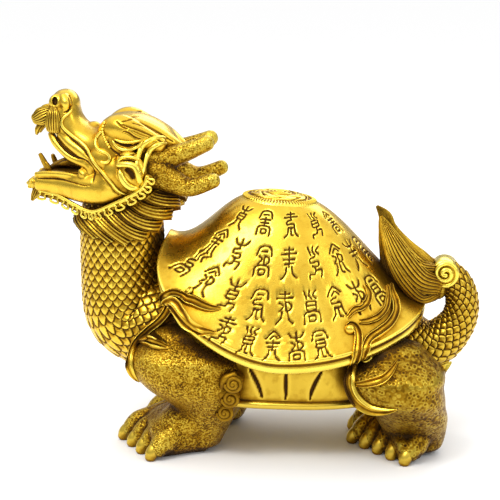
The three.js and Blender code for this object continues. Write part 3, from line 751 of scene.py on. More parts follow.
def scales(around, along, cells, length):
    """Overlapping scales, `cells` of them round the limb, whose free edges point to rising `along`: their
    height from 0 to 1, and the shade in front of each free edge."""
    u, v = np.broadcast_arrays(around / TURN * cells, along / length)
    row = np.floor(v)
    down, odd = v - row, row % 2 / 2
    column = np.round(u - odd) + odd
    rim = (2 * np.abs(u - column)) ** 1.5 + down ** 1.5
    front = rim < 1
    height = np.where(front, 0.5 + 0.5 * down, 0.5 * down) * step(0, 0.25, np.abs(rim - 1))
    return height, np.where(front, 1 - step(0, 0.16, 1 - rim), 1 - step(0.1, 0.6, rim - 1))


def scaly_tube(stations, t, sides, cells, length, rise, way):
    """A tube through stations at the places t, under scales that point on along it where `way` is 1, and back
    where it is -1. Gives the mesh and the painted shade along the edges of its scales."""
    values = smooth(stations, t)
    forward = heading(stations, t)
    side = np.broadcast_to((0.0, 1.0, 0.0), forward.shape)
    up = np.cross(side, forward)
    angle = angles(sides)
    ring = np.cos(angle)[None, :, None] * (side * values[:, 3:4])[:, None]
    ring = ring + np.sin(angle)[None, :, None] * (up * values[:, 4:5])[:, None]
    along = np.concatenate([[0], np.cumsum(np.linalg.norm(np.diff(values[:, :3], axis=0), axis=1))])
    height, shade = scales(angle[None, :], way * along[:, None], cells, length)
    points = values[:, None, :3] + ring + unit(ring) * (rise * height)[..., None]
    return rings_mesh(points), with_ends(0.8 * shade)


def make_neck():
    return scaly_tube(neck_stations(), np.linspace(0.12, 0.95, 250), 330, 28, 3.9, 1.1, -1)


# Head. Its forms are in millimetres from the middle of the skull, and its lines are [x, z] in the side view.

def at_skull(rows):
    rows = np.asarray(rows, float).copy()
    rows[:, :3] += SKULL
    return rows


def head_limb(rows, **options):
    return limb(at_skull(rows), **options)


def head_ball(at, sizes, **options):
    return ball(np.asarray(at) + SKULL, sizes, **options)


def head_forms():
    cranium = head_limb([
        [34, 0, -3, 14, 11], [22, 0, 3, 22, 17], [8, 0, 5, 26, 20], [-5, 0, 3, 26, 18.5],
        [-13, 0, 3, 22.5, 14.5], [-20, 0, 6, 18.5, 11.5], [-27, 0, 11.5, 16, 9.8], [-32, 0, 19, 14.5, 9.4],
        [-34, 0, 27, 13, 9.2],
    ], power=2.3, dome=0.5, sides=64, steps=90)
    jaw = head_limb([
        [20, 0, -8, 27, 12], [12, 0, -10, 29, 13], [1, 0, -16, 30, 13.5], [-8, 0, -20.5, 28.5, 14.5],
        [-16, 0, -22.4, 25, 13], [-23, 0, -22, 21, 10.2], [-31, 0, -21, 18, 8.2], [-42, 0, -21, 14.4, 7.6],
        [-52.6, 0, -21, 9.6, 6.8],
    ], power=2.4, dome=0.5, sides=64, steps=90)
    nose = head_ball([-34, 0, 30], [9.4, 11.5, 9.4])
    return cranium, jaw, nose


def make_head():
    cranium, jaw, nose = head_forms()
    sides = [
        # the band of the upper lip, which ends in a lobe, and the fold above it
        head_limb([[-42.3, 8.5, 11.7, 2.4], [-39.3, 10.5, 6.6, 2.7], [-34.9, 12.5, 2.3, 2.8],
                   [-29.6, 15.2, -1.6, 2.8], [-23.3, 17.6, -4.2, 2.8], [-18, 19.6, -5.8, 2.8],
                   [-14.9, 21, -8.7, 2.6], [-14.8, 21.4, -12, 2]]),
        head_limb([[-36, 10.5, 12, 2.6], [-29, 14, 6.5, 3.6], [-21.5, 17.4, 2, 4], [-15.5, 20, -3, 3.4]]),
        head_limb([[-21.6, 20, -10.2, 2], [-19.2, 21, -12.8, 3], [-16.4, 21.4, -16.4, 1.6]]),
        # the rim of the lower jaw
        head_limb([[-53.4, 6.5, -15.4, 1.8], [-46, 10.6, -14, 2], [-38, 13.8, -13.6, 2.1],
                   [-30, 17, -13.6, 2.1], [-22, 20, -14.6, 2]]),
        # brow, the hair over it, and the bulge of the eye
        head_limb([[-5, 14, 14, 7, 7], [4, 18, 17, 9, 9], [16, 20, 12, 7, 8], [30, 18, 6, 4, 5]]),
        head_limb([[0, 7, 15, 8, 7], [12, 9, 15.8, 10, 7.6], [27, 8, 10, 9, 7], [41, 6, 3, 4, 3.4]]),
        head_ball([9, 23, 8], [9, 4.4, 6]),
        head_ball([-6.9, 15.5, 8.9], [3.8, 4.4, 3.8]),
        # the cheek and the jowl
        head_ball([-5, 21.5, -3], [11, 7, 10]),
        head_limb([[8, 19, -20, 9, 10], [-6, 20, -21.5, 9.6, 11], [-20, 17.6, -22, 8, 9.6],
                   [-32, 12.6, -21.6, 6, 8], [-42, 9, -21, 4.6, 7]]),
        head_ball([4, 25, -11], [12, 6, 11]),
        # the ear's root
        head_limb([[6, 27, -2, 3.6, 6], [10, 29, -4, 4.4, 9], [13, 31, -10, 4.2, 9.5],
                   [15, 31, -17, 3.2, 5.5]]),
        # nostril wing
        head_limb([[-33.5, 8.5, 36, 2.6], [-31.6, 10.6, 31.5, 3.6], [-31.8, 10.6, 27.6, 2.4]]),
        head_ball([-38, 7, 31], [5.6, 5, 6]),
        # horn seats
        head_limb([[16, 12, 6, 9, 12], [21, 14, 2, 9.5, 13]], dome=0.4),
    ]
    bridge = head_ball([-16, 0, 14], [5.2, 5.8, 4.8])
    shape = melted([cranium, jaw, nose, bridge] + both(sides), 0.58, 7)
    lines = (
        # behind the nostril, and above and below the cord round the cheek
        (0.6, 0.7, [(-30, 36), (-28.6, 32.7), (-28.6, 29), (-30, 26.6), (-33, 25.8)]),
        (0.5, 0.6, [(-31, 24.5), (-35, 21), (-35, 17.4), (-32.6, 14), (-28.6, 10.4), (-23.4, 7), (-18.8, 3.6),
                    (-15.6, -0.4), (-12.8, -4.4), (-9.4, -8.4), (-5.4, -12.8), (-1, -17.4), (1.2, -21),
                    (4.6, -24)]),
        # above the lip, and its end at the corner of the mouth
        (0.65, 0.8, [(-39, 12.4), (-37.4, 8.2), (-33.4, 3.8), (-28.6, 0.4), (-23.6, -1.6), (-18, -3),
                     (-13.2, -6.4), (-11.6, -10.4), (-12.2, -16)]),
        # under the rim of the lower jaw
        (0.5, 0.7, [(-51.5, -17.6), (-43, -16.9), (-34.5, -16.7), (-26, -17.4), (-19, -18.4), (-14, -18)]),
        # the slit of the eye and the fold below it
        (0.7, 1.0, [(2.2, 9.9), (6.6, 7.4), (11.7, 6.8), (17.8, 8.9)]),
        (1.1, 1.5, [(5, 8.3), (8.6, 7.4), (12.8, 7.6)]),
        (0.6, 0.8, [(-2.8, 10.5), (-0.3, 5.4), (4.4, 1.9), (10, 0.9), (15.6, 3.2), (19.8, 8.4), (24.4, 12),
                    (30, 11.8)]),
        # the brow's hair
        (0.55, 0.7, [(3.3, 22.3), (6.7, 19.5), (10.5, 17.6)]),
        (0.5, 0.6, [(6.5, 22), (11.1, 23.2), (15.1, 23.6)]),
        (0.6, 0.8, [(7.5, 16.4), (10.9, 15.6), (14.8, 12.8), (18.5, 11.4)]),
        (0.55, 0.7, [(7, 20.4), (12, 18.8), (18.5, 16.4), (25.9, 12.6), (34, 6.9)]),
        (0.5, 0.6, [(13, 21.4), (21, 18.4), (29, 13.6), (37, 8)]),
        (0.5, 0.5, [(14, 16.6), (19, 14.2), (24, 12.4)]),
        # the ear's hollow and the edge in front of it
        (1.9, 1.8, [(10.4, -6.6), (13, -8.2), (14.8, -12)]),
        (0.6, 0.8, [(4.6, -6), (5.2, -12), (8, -17), (12, -21), (17, -21.4)]),
        (0.6, 0.9, [(7.6, -1.7), (12, -1.2), (16.4, -2)]),
    )
    (verts, faces), darkening = sunk(shape, lines, SKULL)
    # the nostrils
    offset = verts - SKULL
    away = np.hypot((offset[:, 0] + 38.8) / 1.75, (offset[:, 2] - 32.6) / 2.7)
    sink = (1 - step(0.6, 1.15, away)) * step(4, 6, np.abs(offset[:, 1]))
    nostril_depth = 3.2
    verts = verts - (0, 1, 0) * np.sign(verts[:, 1:2]) * (nostril_depth * sink)[:, None]
    return (verts, faces), np.maximum(darkening, sink)


def make_face_lines(head):
    """Raised cords and beads laid on the finished head."""
    face = surface_of([head])

    def on_face(rows, lift):
        return draped_line(face, rows, 4 * len(rows), lift, 6)

    def line(rows, radius, lift=0.35, **options):
        return cord(on_face(rows, lift), radius, 10, **options)

    lines = [
        # the cord from the nostril round the cheek
        line([(-28.5, 26.6), (-29.7, 24.8), (-32.4, 22.9), (-33.9, 20.4), (-33.7, 17.7), (-31.9, 15.5),
              (-27.8, 12), (-22.7, 8.7), (-17.9, 5.4), (-14.4, 1.3), (-11.4, -2.8), (-8, -6.9), (-3.7, -11.4),
              (0.5, -15.7), (2.7, -19.6), (5.5, -22.2), (8.3, -23.5)], 1.05, taper=0.8),
        # the eye's lids
        line([(0.8, 9.9), (3.9, 5.9), (9.4, 4.2), (14.8, 5.5), (19.4, 9.6)], 1.25, taper=0.4),
        line([(1.6, 11.2), (6.4, 9.6), (12, 9.3), (19, 11)], 0.9, taper=0.4),
        # the curl below the eye's corner
        line([(-7.3, 14.5), (-10.2, 11.4), (-10.6, 6.9), (-8.2, 3.8), (-4.6, 2.9), (-1.7, 1.4), (-0.9, -1.5),
              (-3, -3.7), (-6.2, -3)], 1.15, 0.5, taper=0.8),
        # the ear: a hooked band with a loop at its start, and a broad leaf round its hollow
        line([(5.8, -4.2), (9, -3.6), (12.8, -3.6), (16.2, -5), (17.8, -8.5), (18.3, -13.4), (19.8, -17.4)],
             2.1, 1.0, taper=0.8),
        line([(5.6, -4), (5.4, -1.4), (8.6, 0.4), (13.1, 0.7), (17.6, -0.6)], 1.2, 0.6, taper=0.7),
        line([(6.6, -8), (8, -12.4), (10.6, -16), (14.2, -18.2), (19.6, -18)], 2.3, 0.4, taper=0.6),
    ]
    beads = on_face([(-4.9, 20.6), (-6.3, 15.8), (-5, 12.2), (-3.3, 9.1), (-1.1, 5.5)], 0.4)[::2]
    return joined(both(lines + [ball(bead, (1, 1, 1), around=12, rings=8) for bead in beads]))


def make_mouth():
    gums = head_limb([[-10, 0, -9, 15, 5], [-24, 0, -13, 14, 3.6], [-38, 0, -14.4, 11, 3],
                      [-50, 0, -15, 6.6, 2.6]])
    tongue = head_limb([[-8, 0, -13, 10, 5], [-18, 0, -10.6, 9.5, 4.6], [-27, 0, -8.4, 9, 3.8],
                        [-34, 0, -8, 7.6, 3], [-41, 0, -10.2, 5, 2.2], [-45, 0, -12.4, 3, 1.5]])
    tongue = swollen(tongue, 0.3 * np.cos(tongue[0][:, 1] * TURN / 3.4))
    palate = head_limb([[-8, 0, -4, 13, 4], [-22, 0, 0.5, 11.5, 4], [-34, 0, 9, 9.5, 4], [-40, 0, 18, 7, 4]])
    return joined([gums, tongue, palate])


def make_teeth():
    teeth = []
    for k in range(5):
        x, side, z = -37 + 4.4 * k, 1.5 * k, 5.6 - 2.7 * k
        rows = [[x, 10.6 + side, z + 1, 1.3, 1.6], [x - 0.3, 10.4 + side, z - 1.4, 1, 1.2],
                [x - 0.5, 10.2 + side, z - 2.8, 0.4, 0.5]]
        teeth.append(head_limb(rows, sides=16, steps=10, across=(1, 0, 0)))
    fangs = (
        [[-44.8, -7.6, -12.5, 1.9], [-47.6, -8, -6.6, 1.9], [-50, -7.8, -2, 1.35]],
        [[-43, -9, -13, 1.5], [-44.8, -9.2, -9.4, 1.6], [-46.2, -9, -7, 1.1]],
        [[-42.6, 7, -12.5, 1.8], [-44.2, 7.4, -8, 1.8], [-45.2, 7, -4.8, 1.3]],
    )
    return joined(both(teeth) + [head_limb(rows, sides=20) for rows in fangs])


def make_moustache():
    """Two combed fans on each side of the nose, small leaves under them, and the chin's knob and locks."""
    def hair(rows, strands, height=0.3):
        return combed(at_skull(rows), 96, 40, strands, height, 1.5)

    parts = [
        hair([[-38.5, 5, 25.8, 3.2, 2.2], [-43.4, 6.4, 24.4, 4.6, 4.6], [-48.4, 7, 22.2, 4.6, 5.6],
              [-52.6, 6.8, 20.4, 2.6, 3.6]], 20),
        hair([[-39.4, 11, 27.6, 2.4, 2.4], [-39.6, 12.6, 24, 3.2, 4.2], [-39.8, 13, 19, 3.2, 4.8],
              [-40, 12.4, 15, 2.2, 4.4]], 18),
        hair([[-43.6, 10.6, 16.8, 1.2, 1.2], [-41, 11.6, 14, 1.6, 1.6], [-36.4, 12.4, 13.8, 1.2, 1.2]],
             6, 0.12),
        hair([[-48.6, 5, 17.6, 1.6, 2], [-51.4, 5.4, 14, 1.4, 2.1], [-52.6, 5, 10.6, 0.7, 0.9]], 6, 0.12),
        hair([[-52.6, 3, -24, 2.4, 2.8], [-55, 3.4, -28.5, 2.2, 2.4], [-57.4, 3, -33, 0.8, 0.9]], 10),
    ]
    # the knob on the chin, with beads wound round it
    x, y, z = -56.4, 3.4, -21.8
    knob = [head_ball([x, y, z], [3.5, 3.4, 3.7], around=24, rings=16)]
    for k in range(9):
        turn = 2.4 * k
        high = 2.6 * (k / 4 - 1)
        wide = math.sqrt(3.3 ** 2 - high ** 2)
        at = [x + wide * math.cos(turn), y + wide * math.sin(turn), z + high]
        knob.append(head_ball(at, [1.3, 1.3, 1.3], around=12, rings=8))
    return gathered(paired(parts + [stained(joined(knob), 0.1)]))


FRILL = ((-51.5, 6.5, -26), (-38, 13.6, -27.6), (-27, 19.4, -31.8), (-18, 23.5, -35), (-11, 26, -35),
         (0, 29, -30), (12, 31.5, -24), (20, 33, -18), (23, 32.5, -11))


def make_frill():
    """A winding cord of hooks along the jaw, on a plain one, with dark ground behind them."""
    hooks, points = 13, 14
    phase = np.linspace(0, hooks, hooks * points + 1)
    t = (phase + 0.16 * np.sin(2 * TURN * phase)) / hooks
    base = smooth(FRILL, t) + SKULL
    tilt = mix(-0.5, 1.3, t)
    down = np.stack([np.sin(tilt), 0.16 + 0 * t, -np.cos(tilt)], -1)
    reach = 0.8 + 4.6 * (0.5 - 0.5 * np.cos(phase * TURN))
    wave = base + down * reach[:, None]
    winding = tube(wave, 0.85, 10, 2 * len(wave))
    web = base - (0, 0.6, 0) + down * 1.4
    web = limb(np.column_stack([web, np.full(len(web), 0.8), np.full(len(web), 2.4)]), 12, len(web), cap=3)
    plain = tube(spread(FRILL, 40) + SKULL, 1.1, 12, 120, dome=0.6)
    return gathered([stained(joined(both([winding, plain])), 0.0), stained(joined(both([web])), 0.9)])


# The mane is a collar of overlapping locks. Each hair runs down and back, and each lock steps over the one
# behind it.
def make_mane():
    locks, around, rows, strands, width = 9.5, 704, 84, 5, 30
    turn = angles(around, -1)
    side = np.arccos(np.cos(turn)) / math.pi
    down = np.linspace(0, 1, rows + 1)[:, None]
    hair = locks * side - 2.7 * down ** 1.15 + 5
    fall = hair % 1
    bulge = 0.86 + 0.19 * np.sin(down * 2.6) + (0.07 + 0.1 * down) * (0.5 - fall)
    comb = np.cos(hair * strands * TURN)
    bulge = bulge + (0.011 * comb + 0.005 * np.cos(hair * strands * 2.6 * TURN)) * step(0, 0.12, down)
    depth = mix(blend(turn, 36, 30, 13), blend(turn, 47, 54, 33) + 5 * (0.5 - fall), down)
    x = 7 - np.cos(turn) * width * 1.13 * bulge
    rings = np.stack([x, np.sin(turn) * width * bulge, -depth], -1) + SKULL
    under = mix(rings[-1], SKULL + (7, 0, -46), 0.2)
    top = np.broadcast_to(SKULL + (7, 0, -16), (around, 3))
    base = np.broadcast_to(SKULL + (7, 0, -44), (around, 3))
    mesh = rings_mesh([top] + list(rings) + [under, base])
    # Painted shade where each lock steps over the next, fading towards the lower edge; patina along the comb
    # lines.
    gaps = np.maximum(step(0.7, 0.9, fall), 0.6 * step(0.2, 0.05, fall)) * step(1.1, 0.4, down)
    lines = (0.45 + 0.2 * np.cos(hair * 2.1)) * step(0.1, -0.9, comb)
    darkening = np.maximum(gaps, lines)
    return mesh, np.concatenate([np.zeros(around), darkening.ravel(), np.zeros(2 * around + 2)])


def make_horns():
    # Each branch is rows of x, y beside the root, z and share of the girth.
    root, girth = 16.0, 15.0
    upper = [[12, -2, -4, 0.86], [24, -2, -4, 0.74], [36, -2, -1.6, 0.5], [48, -3, 2.8, 0.4],
             [58.5, -5, 7.2, 0.35]]
    lower = [[14, -2, -8, 0.8], [26, 0, -11, 0.74], [37, 3, -16, 0.52], [49, 6, -19.6, 0.4],
             [64, 9, -14.4, 0.33]]
    branches = []
    for rows in (upper, lower):
        stations = [[x, root + y, z, girth * size * 0.92, girth * size] for x, y, z, size in rows]
        branches.append(head_limb(stations, dome=0.9))
    return melted(branches, 0.8, 5)


def make_horn_seats(head, horn):
    """Two raised crescents round the root of each horn."""
    ground = surface_of([head, horn])
    outer = [(16.4, -6), (17, 2.1), (18.5, 6), (22.2, 9.9), (27.5, 11.8), (33, 10.6)]
    inner = [(20.6, -9), (21.2, -2), (22.6, 2.4), (25.4, 6.2), (29.6, 8.2), (34, 7.2)]
    laid = [draped_line(ground, line, 18, 0.5, 8) for line in (outer, inner)]
    return joined(both(cord(line, 1.9, 12, taper=0.3) for line in laid))


# Legs, in hundredths of their height from the floor under the hip. `upper`, `paw` and `extra` are stations:
# `extra` fills the front instep and makes the spur behind the hind leg. `middle` is the middle of the line of
# toes, `half` its half length and `line` its turn. The toes are `thick` wide, start `instep` high, and point
# `heading` degrees outward, give or take `fan`.

LEGS = {
    "front": {
        "hip": (FRONT + 0.16 * SHELL_LENGTH, 38.0, 0.0),
        "upper": [[-3, -2, 98, 20, 28], [-3, 4, 85, 30, 43], [-0.5, 5, 71, 31, 45.2], [4, 3.5, 58, 30, 39.5],
                  [10.5, 0, 47, 27, 31.3], [13.5, -4, 38, 25, 26], [8.5, -10, 22, 22.5, 22.5],
                  [3.5, -14, 7, 22, 20]],
        "paw": [[8, -14, 15, 21, 18], [-12, -9, 17, 26, 19.5], [-30, -5, 12, 27, 14.5]],
        "extra": [[8, -4, 33, 19, 20], [-9, -4, 24, 21, 17], [-24, -4, 14, 20, 14]],
        "count": 4, "middle": (-43, -1), "half": 27, "line": 33,
        "heading": 20, "fan": 14, "thick": 8.8, "instep": 22,
    },
    "hind": {
        "hip": (REAR - 0.13 * SHELL_LENGTH, 42.0, 0.0),
        "upper": [[3, -3, 91, 20, 26], [6.5, 4, 76, 32, 37.5], [7.5, 5, 64, 32.5, 36.5],
                  [11.5, 3, 54, 31, 34], [16.5, -3, 44, 27.5, 29.8], [20, -10, 33, 24.5, 28.5],
                  [23, -22, 15, 19.5, 24.5], [21.5, -23, 7, 17.5, 24]],
        "paw": [[20, -18, 14, 22, 16], [6, -14, 11, 28, 13]],
        "extra": [[38, -1, 74, 6, 6], [44.5, -1, 78, 3.6, 3.6], [50, -1, 83, 1.2, 1.2]],
        "count": 5, "middle": (-5, -14), "half": 31, "line": 42,
        "heading": 30, "fan": 22, "thick": 9.2, "instep": 28,
    },
}


def in_leg(form, rows):
    rows = np.asarray(rows, float) * (LEG / 100)
    rows[:, :3] += form["hip"]
    return rows


def upper_leg(form):
    return limb(in_leg(form, form["upper"]), 64, 80, power=2.3, dome=0.3, level=True)


def grounded(mesh):
    """The mesh with whatever reaches below the floor pressed flat on it."""
    verts, faces = mesh
    return np.maximum(verts, (-np.inf, -np.inf, 0.0)), faces


def make_leg(form):
    """The +Y leg, and its claws."""
    s, c = math.sin(math.radians(form["line"])), math.cos(math.radians(form["line"]))
    toes, nails = [], []
    for k in range(form["count"]):
        across = mix(-1, 1, k / (form["count"] - 1))
        angle = math.radians(form["heading"] + across * form["fan"])
        tip = (form["middle"][0] + s * across * form["half"], form["middle"][1] + c * across * form["half"])

        def along_toe(*rows, size=form["thick"]):
            """Stations from rows of how far behind the tip, how high, how wide and how deep."""
            c_toe, s_toe = math.cos(angle), math.sin(angle)
            return in_leg(form, [[tip[0] + c_toe * back, tip[1] - s_toe * back, z, wide * size, deep * size]
                                 for back, z, wide, deep in rows])

        high = form["instep"]
        toe = along_toe((38, 1.3 * high, 0.8, 0.8), (25, high, 0.95, 0.9), (13, 15.5, 0.98, 1.14),
                        (7, 11.5, 0.92, 1), (3, 7, 0.84, 0.8))
        nail = along_toe((6, 11.6, 0.5, 0.45), (2.6, 9.8, 0.6, 0.6), (-0.6, 6, 0.6, 0.6),
                         (-2.2, 2.6, 0.46, 0.5))
        toes.append(limb(toe, 32, 36))
        nails.append(limb(nail, 24, 24, dome=0.8))
    paw = limb(in_leg(form, form["paw"]), 48, 40, power=2.5, dome=0.35, across=(s, c, 0))
    extra = limb(in_leg(form, form["extra"]), 24, 24)
    leg = melted([upper_leg(form), paw] + toes + [extra], 0.95, 5)
    return grounded(leg), grounded(joined(nails))


def make_curls():
    """Three coiled locks down the back of the front leg."""
    form = LEGS["front"]
    parts = []
    middles = in_leg(form, [[36, 30, 70, 7.6], [33, 24, 56, 7.8], [28, 17, 42, 7.6]]) + (1.4, 0, 0, 0)
    for x, y, z, radius in middles:
        core = [[x, y - 10, z, radius * 0.9], [x, y + 2.4, z, radius * 0.9]]
        parts.append(limb(core, 40, 12, dome=0.2, across=(1, 0, 0)))
        parts.append(spiral((x, y + 3.8, z), radius * 0.86, 1.9, 1.55, start=math.radians(200), bulge=0.45))
        lock = [[x + 1, y + 2, z + 0.9 * radius, 2.2], [x - 0.9 * radius, y + 2, z + 0.3 * radius, 2.6],
                [x - 1.3 * radius, y + 1, z - 0.7 * radius, 1.2]]
        parts.append(limb(lock, 20, 20))
    return joined(parts)


# Scrolling bands that run from the legs on to the shell, as [x, z, half width] in millimetres. The first
# three start on the front leg.
RIBBONS = (
    ((-66, 50, 0.8), (-69.4, 58, 1.9), (-71, 66, 2.3), (-69, 74, 2.5), (-62, 81, 2.6), (-54.6, 87, 2.8),
     (-50, 93, 3), (-48.6, 99, 3), (-45.5, 103.4, 3.3), (-41.6, 102.6, 3.6), (-37.4, 97.6, 3.6),
     (-32.6, 92.6, 3.3), (-26.6, 89.6, 2.8), (-20.4, 88.7, 2), (-14, 88, 0.6)),
    ((-50.4, 100, 1.6), (-48.8, 106.4, 2.4), (-44, 109, 2.7), (-38.4, 108, 2.7), (-34.6, 106, 3.2),
     (-30, 105, 3.4), (-25.4, 103.2, 3), (-19.4, 101.6, 2.2), (-12.6, 101.4, 0.6)),
    ((-67, 74.6, 1.6), (-61, 76.8, 3), (-56, 77.2, 3.8), (-51, 76.2, 2.8), (-45.4, 75, 0.6)),
    ((96.4, 43.4, 0.7), (89, 42, 2), (80.2, 42.4, 2.8), (72.6, 47.3, 3.2), (68.6, 54.2, 3.2), (68, 61.5, 3),
     (69.1, 69.9, 2.9), (71.2, 79, 2.9), (71.6, 85.5, 2.8), (69.8, 90.4, 2.3), (66.6, 92.4, 1.9),
     (64.4, 90, 1.5)),
    ((74.6, 72, 1.4), (75.6, 78.6, 2.5), (78.5, 84, 2.9), (84.6, 87.4, 3.1), (90.6, 90.8, 3.1),
     (94, 95.4, 2.9), (93.8, 100.8, 2.4), (92, 105.6, 1.7), (91.4, 110, 0.6)),
    ((72, 93.4, 1.2), (77.5, 93.4, 2), (83.6, 95, 2.3), (88, 98.6, 2.1), (89.4, 104, 1.7), (88.8, 110, 0.6)),
    ((64.4, 95.6, 1.4), (68.3, 99.8, 2.2), (73, 101, 2.4), (76.8, 104, 2.3), (77.3, 108.4, 1.7),
     (74.4, 113, 0.6)),
    ((70.8, 57, 1.4), (78, 59, 2.2), (86.6, 61.8, 2.6), (92, 65.6, 2.2), (96, 70.6, 0.6)),
)


BAND_DROP = 1.8  # how far a band's ground may fall away from its crest
BAND_CALMING = 12  # rounds of smoothing of a band's ground


def neighbours_mean(grid):
    """The mean of the four neighbours of each place in a grid."""
    inner = np.pad(grid, [(1, 1), (1, 1)] + [(0, 0)] * (grid.ndim - 2), mode="edge")
    return (inner[2:, 1:-1] + inner[:-2, 1:-1] + inner[1:-1, 2:] + inner[1:-1, :-2]) / 4


def make_ribbons(ground, setback):
    """The bands of one side, whose front leg is set back. Each has two raised edges and a groove between."""
    parts = []
    for number, stations in enumerate(RIBBONS):
        rows, cols = 11 * len(stations), 31
        t = np.linspace(0, 1, rows)
        flow = smooth(stations, t)
        if number < 3:
            flow[:, 0] += setback * (1 - step(70, 96, flow[:, 1]))
        ahead = unit(np.gradient(flow[:, :2], axis=0))
        aside = np.stack([-ahead[:, 1], ahead[:, 0]], -1)
        w = np.linspace(-1, 1, cols)
        flat = flow[:, None, :2] + aside[:, None] * (w[None, :, None] * flow[:, None, 2:3])
        ground_at, lift = [], []
        for x, z in flat.reshape(-1, 2):
            place, normal = met_from_side(ground, x, z)
            ground_at.append(np.nan if place is None else place.y)
            lift.append((0, 1, 0) if place is None else tuple(normal))
        ground_at = np.array(ground_at).reshape(rows, cols)
        lift = np.array(lift, float).reshape(rows, cols, 3)
        # What finds no ground lies a little below the highest ground of its row, or of the rows beside it.
        crest = np.array([max((y for y in row if not np.isnan(y)), default=np.nan) for row in ground_at])
        met = ~np.isnan(crest)
        crest = np.interp(t, t[met], crest[met])[:, None]
        base = np.maximum(np.where(np.isnan(ground_at), crest - BAND_DROP, ground_at), crest - BAND_DROP)
        for _ in range(BAND_CALMING):
            calm = neighbours_mean(base)
            base = np.maximum(calm, mix(base, calm, 0.7))
            lift = neighbours_mean(lift)
        lift = unit(lift)
        width = np.clip(flow[:, 2] / 3, 0.45, 1.1)[:, None]
        # Across a band, in shares of its half width: a raised edge on each side and a low ridge between.
        edge = np.exp(-((np.abs(w) - 0.78) / 0.16) ** 2)
        profile = 0.8 + 2.3 * edge + 0.5 * np.exp(-(w / 0.3) ** 2)
        profile = profile * np.sqrt(np.clip(1 - np.abs(w) ** 10, 0, 1))
        ends = np.sin(np.clip(np.minimum(t, 1 - t) * 16, 0, 1) * math.pi / 2)[:, None]
        height = profile[None, :] * width * ends
        top = np.dstack([flat[..., 0], base, flat[..., 1]]) + lift * height[..., None]
        foot = np.fmin(np.where(np.isnan(ground_at), base - 3.5, ground_at), base) - 2.5
        bottom = np.dstack([flat[..., 0], foot, flat[..., 1]])
        mesh = rings_mesh(np.concatenate([top, bottom[:, ::-1]], 1))
        groove = 0.08 * step(0.64, 0.5, np.abs(w)) + 0.34 * np.exp(-((np.abs(w) - 0.46) / 0.12) ** 2)
        groove = groove + 0.8 * step(0.95, 1, np.abs(w))
        darkening = np.concatenate([np.broadcast_to(groove, (rows, cols)), np.full((rows, cols), 0.9)], 1)
        parts.append((mesh, with_ends(np.clip(darkening, 0, 1), 0.5)))
    return gathered(parts)


def make_knobs(ground, setback):
    """A bead and small coils where the bands turn."""
    parts = [ball(draped(ground, [(66.4, 89.4)], 0.8)[0], (3.2, 2.6, 3.2))]
    for x, z, radius, start in ((-59.4 + setback, 81.6, 3.2, 1.0), (-33.8, 110.4, 3.4, 4.0),
                                (79.6, 67, 4.4, 3.0)):
        place, normal, _, _ = ground.find_nearest(Vector((x, 50, z)))
        parts.append(spiral(tuple(place), radius, 1.6, 1.05, start=start, normal=tuple(normal)))
    return stained(joined(parts), 0.0)


# Tail

TAIL_ROOT = np.array([REAR - 5, 0, (RIM_HEIGHT + BELLY_CLEARANCE) / 2 + 16])
TAIL_REACH = 34.0
TAIL_GIRTH = 10.0
TAIL_ROLL = TAIL_ROOT + (TAIL_REACH * 0.52, 0, 49)


def make_tail():
    # Shares of the tail's reach, millimetres up, and shares of its girth.
    path = [[-0.7, 5, 1.6], [-0.1, -1, 1.65], [0.42, 1, 1.45], [0.78, 14, 1.14], [0.87, 28, 1],
            [0.76, 40, 0.94], [0.52, 48, 0.86]]
    stations = [[*(TAIL_ROOT + (out * TAIL_REACH, 0, rise)), TAIL_GIRTH * size, TAIL_GIRTH * size]
                for out, rise, size in path]
    return scaly_tube(stations, np.linspace(0.1, 1, 220), 220, 14, 3.6, 1.25, 1)


def make_tail_roll():
    core = [[TAIL_ROLL[0], -8.6, TAIL_ROLL[2], 8.4], [TAIL_ROLL[0], 8.6, TAIL_ROLL[2], 8.4]]
    core = limb(core, 48, 20, dome=0.2, across=(1, 0, 0))
    coil = spiral(TAIL_ROLL + (0, 9.2, 0), 8.6, 2.1, 1.6, start=math.radians(240), bulge=0.3)
    return joined([core] + both([coil]))


TUFT_SIZE = 0.62  # millimetres to a unit of the tuft's stations


def make_tuft():
    """The tail's hair: a fat lock with smaller ones beside it, all combed with fine lines."""
    def lock(rows, *comb):
        stations = np.asarray(rows, float) * TUFT_SIZE
        stations[:, :3] += TAIL_ROLL
        return combed(stations, *comb, 3.5)

    middle = lock([[-4, 0, -16, 16, 15], [-24, 0, -12, 22, 25], [-42, 0, 6, 20, 24], [-54, 0, 28, 12, 15],
                   [-60, 0, 44, 7, 9], [-63, 0, 56, 5.4, 6.4], [-71, 0, 66, 1.4, 1.6]], 300, 120, 40, 0.36)
    sides = [
        lock([[-10, 12, -14, 10, 12], [-28, 20, -6, 12, 15], [-46, 18, 16, 10, 14], [-60, 9, 42, 5, 7],
              [-66, 4, 56, 1.6, 2]], 200, 100, 24, 0.34),
        lock([[-8, 12, -22, 5, 5], [-24, 22, -24, 6, 7], [-40, 27, -8, 6, 8], [-52, 25, 10, 4, 6],
              [-60, 20, 24, 1.4, 2]], 120, 80, 14, 0.3),
        lock([[-12, 12, 4, 5, 5], [-26, 20, 8, 5, 7], [-40, 20, 20, 4.6, 6], [-52, 15, 32, 2.6, 3.6],
              [-58, 10, 42, 1, 1.2]], 120, 80, 14, 0.3),
    ]
    mesh, darkening = gathered([middle] + paired(sides))
    # Painted shade: the tuft grows darker towards the bottom.
    low = step(26, -12, mesh[0][:, 2] - TAIL_ROLL[2])
    return mesh, np.clip(darkening + 0.35 * low, 0, 1)


# Assembly

shell, shell_patina = make_shell()
piece("shell", BRASS, shell, shell_patina, rounds=6)
piece("shell_medallion", BRASS, make_medallion())
piece("belly", AGED, make_belly(), rounds=6, depth=0.5)
shell_surface = surface_of([shell])
